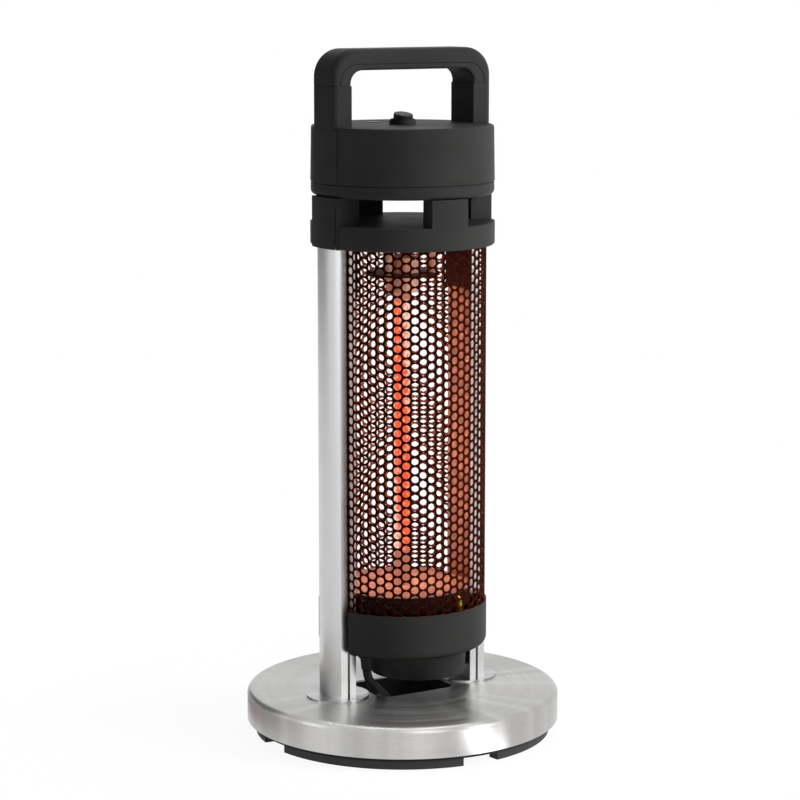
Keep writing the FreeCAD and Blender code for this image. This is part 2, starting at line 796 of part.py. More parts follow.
def shields():
    """A wide dish under the lamp, a small disc round its upper holder, and a strip at each post's top."""
    bore = "lamp_radius + 2 * clearance"
    dish = turned("lower_dish", [
        (bore, "lower_face - shield_thickness"),
        ("shield_radius - shield_thickness", "lower_face - shield_thickness"),
        ("shield_radius - shield_thickness", "lower_rim"),
        ("shield_radius", "lower_rim"),
        ("shield_radius", "lower_face"),
        (bore, "lower_face")])
    flats = cup_notches("lower_shield_flat", "(cup_wall + clearance)", "lower_rim", "shield_rim")
    sub_part("lower_shield", cut("lower_shield_plate", dish, *flats))
    disc = rod("upper_disc", ("0", "0", "upper_face"), "upper_shield_radius", "shield_thickness")
    seat = rod("upper_disc_seat", ("0", "0", "upper_face"), "holder_radius", "shield_thickness")
    sub_part("upper_shield", cut("upper_shield_plate", disc, seat))
    sub_part("shield_standoffs", group("standoff_set", *uprights(
        "standoff", "hanger_circle", (90, 210, 330), "upper_face + shield_thickness", "ring_top - ring_plate")))
    sub_part("lower_supports", group("support_set", *uprights(
        "support", "standoff_circle", (270, 30, 150), "cup_floor", "lower_holder_top")))
    sub_part("upper_brackets", group("bracket_pair", *on_both_sides(bracket, "bracket")))


def uprights(name, circle, angles, low, high):
    """Round rods between two levels on a circle."""
    return [rod(f"{name}_{n}", (f"{circle} * cos({angle})", f"{circle} * sin({angle})", low),
                "standoff_radius", f"({high}) - ({low})") for n, angle in enumerate(angles, start=1)]


def bracket(name, side):
    """Painted strip that hangs from the vent collar inside a post."""
    middle = f"{side}(post_inner - clearance - column_wall / 2)"
    return centred_block(name, (middle, "0"), "ring_low - bracket_drop", "column_wall",
                         "2 * post_half_width", "bracket_drop")


def earth_wire():
    """Short wire that rises from the cup's floor and bends in to the rim of the lower shield."""
    angle = math.radians(value("earth_wire_angle"))
    outward = FreeCAD.Vector(math.cos(angle), math.sin(angle), 0)
    upward = FreeCAD.Vector(0, 0, 1)
    bend = value("earth_wire_bend")
    foot = outward * value("shield_radius + earth_wire_gap") + upward * value("cup_floor")
    turn_start = foot + upward * value("lower_face - earth_wire_drop - earth_wire_bend - cup_floor")
    turn_end = turn_start + upward * bend - outward * bend
    diagonal = bend * math.sqrt(0.5)
    turn_middle = turn_start - outward * (bend - diagonal) + upward * diagonal
    rim = turn_end - outward * value("earth_wire_gap - earth_wire_bend")
    edges = [Part.LineSegment(foot, turn_start).toShape(), Part.Arc(turn_start, turn_middle, turn_end).toShape(),
             Part.LineSegment(turn_end, rim).toShape()]
    wire = doc.addObject("Part::Feature", "earth")
    wire.Shape = tube("earth wire", edges, value("lead_radius"), upward)
    return sub_part("earth_wire", wire)


# Vent collar
def vent_collar():
    ring = turned("ring_body", [
        ("ring_pip_radius", "ring_top - ring_plate"),
        ("ring_radius - ring_wall", "ring_top - ring_plate"),
        ("ring_radius - ring_wall", "ring_low"),
        ("ring_radius - ring_edge_radius", "ring_low", "ring_edge_radius"),
        ("ring_radius", "ring_low + ring_edge_radius"),
        ("ring_radius", "ring_top"),
        ("ring_pip_radius", "ring_top")])
    column_inner = "(post_inner - clearance - column_wall)"
    column_half = "(post_half_width + clearance + column_wall)"
    height = "window_top - ring_low"
    across = centred_block("column_bar", ("0", "0"), "ring_low", "2 * column_radius", f"2 * {column_half}",
                           height)
    between = centred_block("column_gap", ("0", "0"), "ring_low", f"2 * {column_inner}",
                            f"2 * {column_half}", height)
    columns = shared("columns", cut("column_pair", across, between),
                     rod("column_round", ("0", "0", "ring_low"), "column_radius", height))
    spacer_bar = centred_block("spacer_bar", ("0", "0"), "ring_top", "spacer_width", "2 * ring_radius",
                               "window_height")
    spacer_ring = cut("spacer_ring", rod("spacer_out", ("0", "0", "ring_top"), "ring_radius", "window_height"),
                      rod("spacer_in", ("0", "0", "ring_top"), "ring_radius - spacer_depth", "window_height"))
    spacers = shared("spacers", spacer_bar, spacer_ring)
    sockets = on_both_sides(post_socket, "collar_socket")
    bores = on_both_sides(top_bore, "collar_bore")
    seats = [half_shell(f"collar_seat_{name}", side, "clearance", "ring_low", "grille_in_collar + clearance")
             for name, side in (("rear", ""), ("front", "-"))]
    return sub_part("vent_collar", cut("collar", join("collar_whole", ring, columns, spacers),
                                       *sockets, *bores, *seats))


def post_socket(name, side):
    length = "(post_crown - post_inner + 2 * clearance)"
    return centred_block(name, (f"{side}(post_inner - clearance + {length} / 2)", "0"), "ring_low", length,
                         "2 * (post_half_width + clearance)", "socket_depth")


def top_bore(name, side):
    return rod(name, (f"{side}post_middle", "0", "post_top"), "screw_radius + clearance",
               "band_top - post_top")


# Head and handle
def head_base():
    tray = turned("tray_body", [
        ("0", "window_top"),
        ("band_radius - band_edge_radius", "window_top", "band_edge_radius"),
        ("band_radius", "window_top + band_edge_radius"),
        ("band_radius", "band_top - seam_round"),
        ("band_radius - seam_round", "band_top"),
        ("band_radius - head_wall", "band_top"),
        ("band_radius - head_wall", "window_top + ring_plate"),
        ("0", "window_top + ring_plate")])
    bores = on_both_sides(top_bore, "tray_bore")
    return sub_part("head_base", cut("tray", tray, *bores))


def leg(name, side):
    body = padded(name, "XY_Plane", [
        (f"{side}leg_inner", "-leg_half_width"), (f"{side}leg_outer", "-leg_half_width"),
        (f"{side}leg_outer", "leg_half_width"), (f"{side}leg_inner", "leg_half_width")],
        "leg_top - housing_top + head_top", "housing_top - head_top")
    outer = value("leg_outer")
    top = value("leg_top")
    round_edges(body, name + "_round", "leg_edge_radius",
                lambda edge, middle: upright(edge) and abs(abs(middle.x) - outer) < CLOSE)
    round_edges(body, name + "_seam", "seam_round", lambda edge, middle: abs(middle.z - top) < CLOSE)
    return body


def head_housing():
    top_radius = "head_radius - head_draft"
    drum = turned("drum_body", [
        ("0", "band_top"),
        ("head_radius - seam_round", "band_top"),
        ("head_radius", "band_top + seam_round"),
        (top_radius, "housing_top - head_edge_radius", "head_edge_radius"),
        (f"{top_radius} - head_edge_radius", "housing_top"),
        ("0", "housing_top")])
    low = "band_top + seam_round"
    height = "head_height - head_edge_radius - seam_round"
    pilasters = shared("pilasters",
                       rod("pilaster_round", ("0", "0", low), "head_radius + pilaster_proud", height),
                       centred_block("pilaster_bar", ("0", "0"), low, "3 * head_radius",
                                     "2 * pilaster_half_width", height))
    legs = on_both_sides(leg, "leg")
    room = rod("drum_room", ("0", "0", "band_top"), "head_radius - head_draft - head_wall",
               "head_height - head_top")
    switch_hole = rod("switch_hole", ("0", "0", "band_top"), "switch_body_radius + clearance / 2",
                      "head_height")
    lens_hole = rod("lens_hole", ("-lens_aside", "lens_place", "band_top"), "lens_radius + clearance / 2",
                    "head_height")
    return sub_part("head_housing", cut("housing", join("housing_whole", drum, pilasters, *legs), room,
                                        switch_hole, lens_hole))


def grip_corners(outer, outer_top, inner, inner_top):
    """Outline of an upside-down U, without its rounded corners."""
    return [(f"-({outer})", "leg_top"), (f"-({inner})", "leg_top"), (f"-({inner})", inner_top),
            (inner, inner_top), (inner, "leg_top"), (outer, "leg_top"), (outer, outer_top),
            (f"-({outer})", outer_top)]


def grip_shell(label, outer, outer_top, outer_corner, inner, inner_top, inner_corner):
    body = padded(label + "_body", "XZ_Plane", grip_corners(outer, outer_top, inner, inner_top),
                  "2 * leg_half_width", "0", True)
    high = value(outer_top)
    arch = value(inner_top)

    def along_y(edge):
        return abs(edge.tangentAt(edge.FirstParameter).y) > PARALLEL

    round_edges(body, label + "_outer_corners", outer_corner,
                lambda edge, middle: along_y(edge) and abs(middle.z - high) < CLOSE)
    round_edges(body, label + "_inner_corners", inner_corner,
                lambda edge, middle: along_y(edge) and abs(middle.z - arch) < CLOSE)
    return body


def handle():
    """Grip of two shells, parted along its sides, on the legs of the head."""
    seam = "leg_inner + parting_on_leg"
    arch = "grip_top - grip_bar"
    seam_top = f"{arch} + parting_on_bar"
    seam_corner = "grip_inner_corner + parting_on_bar"
    low = value("leg_top")
    half = value("leg_half_width")

    def on_side(middle):
        return abs(abs(middle.y) - half) < CLOSE and middle.z > low + CLOSE

    def beyond(x, z):
        return lambda edge, middle: on_side(middle) and (abs(middle.x) > x + CLOSE or middle.z > z + CLOSE)

    def within(x, z):
        return lambda edge, middle: on_side(middle) and abs(middle.x) < x + CLOSE and middle.z < z + CLOSE

    upper = grip_shell("handle_upper", "leg_outer", "grip_top", "grip_outer_corner", seam, seam_top,
                       seam_corner)
    round_edges(upper, "handle_upper_round", "grip_edge_radius", beyond(value(seam), value(seam_top)))
    round_edges(upper, "handle_upper_seam", "seam_round", within(value(seam), value(seam_top)))
    sub_part("handle_upper", upper)

    lower = grip_shell("handle_lower", seam, seam_top, seam_corner, "leg_inner", arch, "grip_inner_corner")
    round_edges(lower, "handle_lower_seam", "seam_round", beyond(value("leg_inner"), value(arch)))
    round_edges(lower, "handle_lower_round", "grip_inner_edge", within(value("leg_inner"), value(arch)))
    sub_part("handle_lower", lower)


# Switch and indicator
def switch():
    bezel = turned("bezel_body", [
        ("bezel_bore", "housing_top"),
        ("bezel_radius", "housing_top"),
        ("bezel_radius", "housing_top + bezel_height"),
        ("bezel_step_radius", "housing_top + bezel_height"),
        ("bezel_step_radius", "housing_top + bezel_height + bezel_step_height"),
        ("bezel_bore", "housing_top + bezel_height + bezel_step_height")])
    bearing = lay_along_x(rod("bezel_bearing", ("-bezel_radius", "0", "pin_height"),
                              "pin_radius + pin_clearance", "2 * bezel_radius"))
    sub_part("switch_bezel", cut("bezel", bezel, bearing))
    can = rod("switch_can", ("0", "0", "housing_top - switch_body_depth"), "switch_body_radius",
              "switch_body_depth")
    well = rod("switch_well_bore", ("0", "0", "housing_top - switch_well"), "bezel_bore", "switch_well")
    sub_part("switch_body", cut("switch_whole", can, well))
    rocker()
    lens = rod("lens", ("-lens_aside", "lens_place", "housing_top - head_top"), "lens_radius",
               "head_top + lens_proud")
    sub_part("indicator_lens", lens)


def rocker():
    """Round rocker on its pin, tipped to the viewer's side."""
    button = turned("rocker_button", [
        ("0", "-rocker_below_pin"),
        ("rocker_radius", "-rocker_below_pin"),
        ("rocker_radius", "rocker_above_pin - rocker_edge_radius", "rocker_edge_radius"),
        ("rocker_radius - rocker_edge_radius", "rocker_above_pin"),
        ("0", "rocker_above_pin")])
    pin = lay_along_x(rod("rocker_pin", ("-bezel_radius + clearance", "0", "0"), "pin_radius",
                          "2 * (bezel_radius - clearance)"))
    tipped = doc.addObject("Part::Feature", "rocker_tipped")
    doc.recompute()
    shape = button.Shape.fuse(pin.Shape).removeSplitter()
    shape.rotate(FreeCAD.Vector(0, 0, 0), FreeCAD.Vector(1, 0, 0), value("rocker_tilt"))
    tipped.Shape = shape
    tipped.Placement = FreeCAD.Placement(vector("0", "0", "pin_height"), tipped.Placement.Rotation)
    sub_part("switch_rocker", tipped)


# Cord
CORD_FALL = [(0.0, 0.0, 0.0), (1.0, 0.4, -6.5), (7.0, 3.0, -12.8), (17.0, 7.5, -21.4), (28.5, 13.6, -31.8)]
CORD_POINTS = [(-2.5, 0.5, 11.0), (5.5, 12.5, 5.8), (9.5, 28.0, 3.7), (9.5, 50.0, 3.4), (7.0, 76.0, 3.3),
               (6.0, 104.0, 3.4), (12.0, 131.0, 3.3), (27.0, 156.0, 3.8)]
LAST_RUN = 30.0
BEND_SHARE = 0.45
LEAD_RUNS = ((12.0, 0.0), (22.0, 1.0), (12.0, 0.0))


def tube(name, edges, radius, heading):
    """Solid tube of the given radius along tangent edges, with its volume compared with its length."""
    path = Part.Wire(edges)
    start = edges[0].valueAt(edges[0].FirstParameter)
    ring = Part.Wire(Part.makeCircle(radius, start, heading))
    solid = path.makePipeShell([ring], True, False)
    expected = math.pi * radius ** 2 * path.Length
    if abs(solid.Volume / expected - 1) > 0.01:
        raise ValueError(f"{name}: volume {solid.Volume:.0f} where {expected:.0f} was expected")
    print(f"{name}: {path.Length:.1f} mm long")
    return solid


def rounded_runs(name, points):
    """Straight runs joined by tangent arcs, each as large as its two runs allow."""
    edges = []
    radii = []
    here = points[0]
    for before, corner, after in zip(points, points[1:], points[2:]):
        back = before - corner
        ahead = after - corner
        turn = math.pi - back.getAngle(ahead)
        trim = BEND_SHARE * min(back.Length, ahead.Length)
        radius = trim / math.tan(turn / 2)
        start = corner + back.normalize() * trim
        end = corner + ahead.normalize() * trim
        inward = (back + ahead).normalize()
        middle = corner + inward * (math.hypot(radius, trim) - radius)
        edges.append(Part.LineSegment(here, start).toShape())
        edges.append(Part.Arc(start, middle, end).toShape())
        radii.append(round(radius, 1))
        here = end
    edges.append(Part.LineSegment(here, points[-1]).toShape())
    print(f"{name}: bend radii {radii}")
    return edges


def coil_frame():
    """Middle of the coil, the direction from it to where the cord comes in, and the heading there."""
    angle = math.radians(value("coil_angle"))
    middle = vector("coil_x", "coil_y", "coil_low")
    outward = FreeCAD.Vector(math.cos(angle), math.sin(angle), 0)
    heading = FreeCAD.Vector(math.sin(angle), -math.cos(angle), 0)
    return middle, outward, heading


def half_turn(middle, outward, heading, first, last, low, rise):
    """Edges of half a turn, clockwise from above, from one radius to another and up by a rise."""
    start = middle + outward * first + FreeCAD.Vector(0, 0, low)
    end = middle - outward * last + FreeCAD.Vector(0, 0, low + rise)
    radius = (first + last) / 2
    centre = (start + end) * 0.5
    if rise == 0:
        return [Part.Arc(start, centre + heading * radius, end).toShape()]
    return climbing_half_turn(centre, outward, heading, radius, rise)


def climbing_half_turn(centre, outward, heading, radius, rise):
    """Half a turn that leaves level, climbs a little closer in and comes level again, in biarcs."""
    dip = value("coil_dip")

    def place(share):
        angle = math.pi * share
        lift = rise * (share - math.sin(2 * angle) / (2 * math.pi) - 0.5)
        reach = radius - dip * (1 - math.cos(2 * angle)) / 2
        return (centre + outward * (reach * math.cos(angle)) + heading * (reach * math.sin(angle))
                + FreeCAD.Vector(0, 0, lift))

    def way(share):
        angle = math.pi * share
        climb = rise * (1 - math.cos(2 * angle)) / math.pi
        reach = radius - dip * (1 - math.cos(2 * angle)) / 2
        change = -dip * math.sin(2 * angle)
        return (heading * (reach * math.cos(angle) + change * math.sin(angle))
                + outward * (change * math.cos(angle) - reach * math.sin(angle))
                + FreeCAD.Vector(0, 0, climb)).normalize()

    edges = []
    quarters = [0.25 * step for step in range(5)]
    for low, high in zip(quarters, quarters[1:]):
        edges.extend(biarc(place(low), way(low), place(high), way(high)))
    return edges


def biarc(start, start_way, end, end_way):
    """Two tangent arcs from a point and direction to another."""
    span = end - start
    ways = start_way + end_way
    square = 2 * (1 - start_way.dot(end_way))
    along = span.dot(ways)
    reach = (math.sqrt(along ** 2 + square * span.dot(span)) - along) / square
    first_corner = start + start_way * reach
    second_corner = end - end_way * reach
    joint = (first_corner + second_corner) * 0.5
    return [corner_arc(start, first_corner, joint), corner_arc(joint, second_corner, end)]


def corner_arc(start, corner, end):
    """Arc from start to end, tangent to the lines to the corner between them."""
    half_chord = (end - start).Length / 2
    middle = (start + end) * 0.5
    leg_length = (corner - start).Length
    depth = (corner - middle).Length
    sagitta = half_chord * (leg_length - half_chord) / depth
    return Part.Arc(start, middle + (corner - middle) * (sagitta / depth), end).toShape()


def coil_edges():
    """A spiral in, a climb of one layer in half a turn, and a spiral out on top."""
    middle, outward, heading = coil_frame()
    step = value("coil_pitch") / 2
    radius = value("coil_outer")
    low = 0.0
    edges = []
    for turn in range(2 * COIL_HALF_TURNS + 1):
        climb = value("coil_pitch") if turn == COIL_HALF_TURNS else 0.0
        change = 0.0 if climb else (-step if turn < COIL_HALF_TURNS else step)
        edges.extend(half_turn(middle, outward, heading, radius, radius + change, low, climb))
        radius += change
        low += climb
        outward = -outward
        heading = -heading
    return edges, middle + outward * radius + FreeCAD.Vector(0, 0, low), heading


def least_gap(edges, radius):
    """Least gap between stretches of the tube that are more than a quarter turn apart."""
    spacing = radius
    points = [point for edge in edges
              for point in edge.discretize(Number=max(2, int(edge.Length / spacing)))[:-1]]
    apart = int(8 * radius / spacing)
    least = min((points[i] - points[k]).Length for i in range(len(points))
                for k in range(i + apart, len(points)))
    return least - 2 * radius


def cord():
    radius = value("cord_radius")
    middle, outward, heading = coil_frame()
    coil_start = middle + outward * value("coil_outer")
    mouth = vector("gland_x", "gland_y", "gland_low - cord_gap")
    points = [mouth + FreeCAD.Vector(*step) for step in CORD_FALL]
    points += [FreeCAD.Vector(*point) for point in CORD_POINTS]
    points += [coil_start - heading * LAST_RUN, coil_start]
    stretch = doc.addObject("Part::Feature", "cord_stretch")
    stretch.Shape = tube("mains cord", rounded_runs("mains cord", points), radius, points[1] - points[0])
    sub_part("mains_cord", stretch)

    edges, lead_start, lead_way = coil_edges()
    rise = value("plug_axis") - lead_start.z
    lead = [lead_start]
    for run, share in LEAD_RUNS:
        lead.append(lead[-1] + lead_way * run + FreeCAD.Vector(0, 0, rise * share))
    print(f"coil: least gap {least_gap(edges, radius):.2f} mm")
    coil = doc.addObject("Part::Feature", "coil")
    coil.Shape = tube("coil", edges + rounded_runs("plug lead", lead), radius, heading)
    sub_part("cord_coil", coil)
    plug(lead[-1], lead_way)
    cord_tie(middle, outward)


def cord_tie(middle, outward):
    """Strap round all the turns, a quarter turn before the cord comes round to where it came in."""
    strap = value("tie_strap")
    gap = value("clearance")
    radius = value("cord_radius")
    pitch = value("coil_pitch")
    beside = radius + value("tie_gap") + strap
    inner = value("coil_outer") - (COIL_HALF_TURNS - 0.5) * pitch / 2 - beside
    outer = value("coil_outer") - 1.5 * pitch / 2 + beside
    low = value("coil_low") - radius - gap - strap
    height = pitch + 2 * (radius + gap + strap)
    width = value("tie_width")
    corner = FreeCAD.Vector(inner, -width / 2, low)
    around = Part.makeBox(outer - inner, width, height, corner)
    room = Part.makeBox(outer - inner - 2 * strap, width, height - 2 * strap,
                        corner + FreeCAD.Vector(strap, 0, strap))
    strap_loop = doc.addObject("Part::Feature", "tie")
    strap_loop.Shape = around.cut(room)
    across = FreeCAD.Vector(-outward.y, outward.x, 0)
    facing = FreeCAD.Rotation(FreeCAD.Vector(1, 0, 0), across)
    strap_loop.Placement = FreeCAD.Placement(FreeCAD.Vector(middle.x, middle.y, 0), facing)
    sub_part("cord_tie", strap_loop)


def plug(back, way):
    """Round plug on its side: a tapered neck, a wide face and two round pins."""
    facing = FreeCAD.Rotation(FreeCAD.Vector(1, 0, 0), way)
    neck = lay_along_x(cone("plug_neck_cone", ("0", "0", "0"), "plug_neck_radius", "plug_shoulder_radius",
                            "plug_neck"))
    face = lay_along_x(rod("plug_face", ("plug_neck", "0", "0"), "plug_radius", "plug_face_depth"))
    doc.recompute()
    body = doc.addObject("Part::Feature", "plug_moulding")
    body.Shape = neck.Shape.fuse(face.Shape)
    body.Placement = FreeCAD.Placement(back, facing)
    sub_part("plug_body", body)
    pins = [lay_along_x(rod(f"plug_pin_{n}", ("plug_neck + plug_face_depth", f"{side}plug_pin_spacing / 2", "0"),
                            "plug_pin_radius", "plug_pin_length"))
            for n, side in enumerate(("", "-"), start=1)]
    doc.recompute()
    pair = doc.addObject("Part::Feature", "plug_pin_pair")
    pair.Shape = Part.makeCompound([pin.Shape for pin in pins])
    pair.Placement = FreeCAD.Placement(back, facing)
    sub_part("plug_pins", pair)


def build():
    base_cap()
    base_plate()
    base_feet()
    ballast_plate()
    base_screws()
    post_collars()
    post("post_right", 0)
    post("post_left", 180)
    post_fasteners()
    lower_cup()
    sub_part("cup_screws", group("cup_screw_set", *on_both_sides(cup_screw, "cup_screw")))
    terminal_box()
    cable_gland()
    inner_electrics()
    grille("grille_rear", "")
    grille("grille_front", "-")
    lamp()
    shields()
    earth_wire()
    vent_collar()
    head_base()
    head_housing()
    handle()
    switch()
    cord()
    doc.recompute()


def check():
    for item in doc.Objects:
        if "Invalid" in item.State or "Error" in item.State:
            raise ValueError(f"{item.Name} failed: {item.State}")
    for item in sub_parts:
        if item.Shape.isNull() or not item.Shape.isValid() or not item.Shape.Solids:
            raise ValueError(f"{item.Label} has no valid solid")


build()
check()
os.makedirs("parts", exist_ok=True)
for item in sub_parts:
    item.Shape.exportStep(f"parts/{item.Label}.step")
print(f"{len(sub_parts)} sub-parts written")
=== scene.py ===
import json
import math

import bmesh
import bpy
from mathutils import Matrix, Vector


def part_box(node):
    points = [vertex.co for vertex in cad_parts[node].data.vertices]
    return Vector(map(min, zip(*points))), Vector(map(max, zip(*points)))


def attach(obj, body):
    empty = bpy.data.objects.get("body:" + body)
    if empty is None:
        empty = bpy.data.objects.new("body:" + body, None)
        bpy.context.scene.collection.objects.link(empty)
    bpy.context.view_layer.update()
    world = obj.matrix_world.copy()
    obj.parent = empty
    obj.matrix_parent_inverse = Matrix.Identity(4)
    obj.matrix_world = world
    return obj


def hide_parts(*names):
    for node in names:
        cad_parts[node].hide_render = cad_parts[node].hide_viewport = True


# Looks of the table-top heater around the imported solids. Its own sizes are in millimetres, and become
# metres where they are multiplied by MM. The camera and the studio are in metres.
MM = 0.001

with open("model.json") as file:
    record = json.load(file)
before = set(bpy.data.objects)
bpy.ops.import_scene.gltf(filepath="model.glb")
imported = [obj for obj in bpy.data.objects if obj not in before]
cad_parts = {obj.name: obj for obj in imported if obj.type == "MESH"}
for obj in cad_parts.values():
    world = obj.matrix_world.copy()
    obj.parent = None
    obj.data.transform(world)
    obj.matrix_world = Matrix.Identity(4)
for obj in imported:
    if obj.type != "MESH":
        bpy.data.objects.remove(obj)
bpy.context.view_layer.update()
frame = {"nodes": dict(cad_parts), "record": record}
nodes = frame["nodes"]


def add_object(name, data):
    thing = bpy.data.objects.new(name, data)
    bpy.context.scene.collection.objects.link(thing)
    return thing


# Camera, fitted to the circles of the base, cup, collar and head
CAMERA_DISTANCE = 1.7855
CAMERA_HEIGHT = 0.52965
CAMERA_PITCH = math.radians(9.368)
CAMERA_TURN = math.radians(31.0)
CAMERA_AIM = math.radians(0.056)
CAMERA_SIGHT = 50.0
SENSOR_WIDTH = 36.0
LENS = 116.69


def add_camera():
    data = bpy.data.cameras.new("camera")
    data.sensor_width = SENSOR_WIDTH
    data.lens = LENS
    data.clip_end = CAMERA_SIGHT
    camera = add_object("camera", data)
    camera.location = (-CAMERA_DISTANCE * math.sin(CAMERA_TURN), -CAMERA_DISTANCE * math.cos(CAMERA_TURN),
                       CAMERA_HEIGHT)
    camera.rotation_euler = (math.pi / 2 - CAMERA_PITCH, 0.0, -CAMERA_TURN + CAMERA_AIM)
    bpy.context.scene.camera = camera


# Colours
WHITE = (1.0, 1.0, 1.0)
BLACK = (0.0, 0.0, 0.0)
# Parts of a value from 0 to 1 over which a tone, a roughness or a strength changes
MIDDLE = (0.3, 0.7)
NARROW = (0.35, 0.65)
BROAD = (0.25, 0.75)
FULL = (0.0, 1.0)


def opaque(colour):
    return (*colour, 1.0)


def shade(colour, share):
    return tuple(channel * share for channel in colour)


def tones(colour, darkest, lightest, reach=MIDDLE):
    """Stops of a ramp between two shares of one colour."""
    start, end = reach
    return [(start, shade(colour, darkest)), (end, shade(colour, lightest))]


# Shader nodes: each function adds nodes to a tree and returns their output
VECTORS = "ShaderNodeVectorMath"
PLAIN_SCALE = (1.0, 1.0, 1.0)
FLAT_SCALE = (1.0, 1.0, 0.0)
NEW_STOP = 0.5


def find_node(tree, kind):
    return next(node for node in tree.nodes if node.type == kind)


def feed(tree, target, value):
    """Link an output to an input, or set the input to a plain value."""
    if isinstance(value, bpy.types.NodeSocket):
        tree.links.new(value, target)
    else:
        target.default_value = value


def calculate(tree, operation, *values, kind="ShaderNodeMath", output="Value"):
    """Output of a math node, or of one for vectors."""
    node = tree.nodes.new(kind)
    node.operation = operation
    for target, value in zip(node.inputs, values):
        feed(tree, target, value)
    return node.outputs[output]


def coordinates(tree, output="Object"):
    return tree.nodes.new("ShaderNodeTexCoord").outputs[output]


def axes(tree):
    """Outputs X, Y and Z of the place on the object."""
    parts = tree.nodes.new("ShaderNodeSeparateXYZ")
    feed(tree, parts.inputs["Vector"], coordinates(tree))
    return parts.outputs


def object_place(tree, stretch=PLAIN_SCALE):
    """Place on the object, stretched along its axes."""
    mapping = tree.nodes.new("ShaderNodeMapping")
    mapping.inputs["Scale"].default_value = stretch
    feed(tree, mapping.inputs["Vector"], coordinates(tree))
    return mapping.outputs["Vector"]


def flat_place(tree):
    """Place on the object without its height."""
    return calculate(tree, "MULTIPLY", coordinates(tree), FLAT_SCALE, kind=VECTORS, output="Vector")


def axis_distance(tree):
    return calculate(tree, "LENGTH", flat_place(tree), kind=VECTORS)


def way_round(tree):
    """Direction from the Z axis, for what changes only round it."""
    return calculate(tree, "NORMALIZE", flat_place(tree), kind=VECTORS, output="Vector")


def angle_round(tree):
    parts = axes(tree)
    return calculate(tree, "ARCTAN2", parts["Y"], parts["X"])


def facing_out(tree):
    """From 1 on the faces that look away from the Z axis to -1 on those that look to it."""
    return calculate(tree, "DOT_PRODUCT", coordinates(tree, "Normal"), way_round(tree), kind=VECTORS)


def turned_place(tree, along):
    """Place as radius, a share of the angle round the Z axis and height, for brushing in circles."""
    place = tree.nodes.new("ShaderNodeCombineXYZ")
    feed(tree, place.inputs["X"], axis_distance(tree))
    feed(tree, place.inputs["Y"], calculate(tree, "MULTIPLY", angle_round(tree), along))
    feed(tree, place.inputs["Z"], axes(tree)["Z"])
    return place.outputs["Vector"]


def noise(tree, place, scale, detail=2.0):
    texture = tree.nodes.new("ShaderNodeTexNoise")
    texture.inputs["Scale"].default_value = scale
    texture.inputs["Detail"].default_value = detail
    feed(tree, texture.inputs["Vector"], place)
    return texture.outputs["Fac"]


def waves(tree, scale):
    """Bands that run aslant over the object."""
    texture = tree.nodes.new("ShaderNodeTexWave")
    texture.bands_direction = "DIAGONAL"
    texture.inputs["Scale"].default_value = scale
    feed(tree, texture.inputs["Vector"], object_place(tree))
    return texture.outputs["Fac"]


def spread(tree, value, low, high, reach=MIDDLE):
    """Number that goes from low to high while the value goes through its reach."""
    start, end = reach
    span = tree.nodes.new("ShaderNodeMapRange")
    span.inputs["From Min"].default_value = start
    span.inputs["From Max"].default_value = end
    span.inputs["To Min"].default_value = low
    span.inputs["To Max"].default_value = high
    feed(tree, span.inputs["Value"], value)
    return span.outputs["Result"]


def tint(tree, value, colours):
    """Colour that a ramp of (place, colour) has at the value."""
    ramp = tree.nodes.new("ShaderNodeValToRGB")
    stops = ramp.color_ramp.elements
    while len(stops) < len(colours):
        stops.new(NEW_STOP)
    for stop, (place, colour) in zip(stops, colours):
        stop.position = place
        stop.color = opaque(colour)
    feed(tree, ramp.inputs["Fac"], value)
    return ramp.outputs["Color"]


def blend(tree, share, first, second, manner="MIX"):
    """Colour made of two, with a share of 0 to 1 for the second."""
    mix = tree.nodes.new("ShaderNodeMix")
    mix.data_type = "RGBA"
    mix.blend_type = manner
    feed(tree, mix.inputs["Factor"], share)
    feed(tree, mix.inputs["A"], first)
    feed(tree, mix.inputs["B"], second)
    return mix.outputs["Result"]


# Materials
def shader(name, colour, roughness, metallic=0.0, gloss=0.5):
    """New material with one principled shader: the material, its tree and the shader."""
    material = bpy.data.materials.new(name)
    material.use_nodes = True
    tree = material.node_tree
    surface = find_node(tree, "BSDF_PRINCIPLED")
    surface.inputs["Base Color"].default_value = opaque(colour)
    surface.inputs["Roughness"].default_value = roughness
    surface.inputs["Metallic"].default_value = metallic
    surface.inputs["Specular IOR Level"].default_value = gloss
    return material, tree, surface


def vary_roughness(tree, value, surface, swing):
    """Let the shader's roughness follow a value, to both sides of what it is."""
    roughness = surface.inputs["Roughness"]
    middle = roughness.default_value
    feed(tree, roughness, spread(tree, value, middle - swing, middle + swing))


def bump(tree, value, surface, strength, height):
    raised = tree.nodes.new("ShaderNodeBump")
    raised.inputs["Strength"].default_value = strength
    raised.inputs["Distance"].default_value = height * MM
    feed(tree, raised.inputs["Height"], value)
    feed(tree, surface.inputs["Normal"], raised.outputs["Normal"])


# Painted shade by the lamp: its colour, the radii over which it ends and the levels between which it lies
PAINTED_SHADE = (0.006, 0.0025, 0.0015)
PAINTED_SHADE_REACH = (57.5 * MM, 58.0 * MM)
CUP_FLOOR = 60.0
COLLAR_LEVEL = 345.0


def painted_shade_part(tree):
    """1 on what lies inside the cup and the collar, by the lamp, where shade is painted, 0 on the rest."""
    middle = (CUP_FLOOR + COLLAR_LEVEL) / 2
    level = calculate(tree, "COMPARE", axes(tree)["Z"], middle * MM, (COLLAR_LEVEL - middle) * MM)
    return calculate(tree, "MULTIPLY", level, spread(tree, axis_distance(tree), 1.0, 0.0, PAINTED_SHADE_REACH))


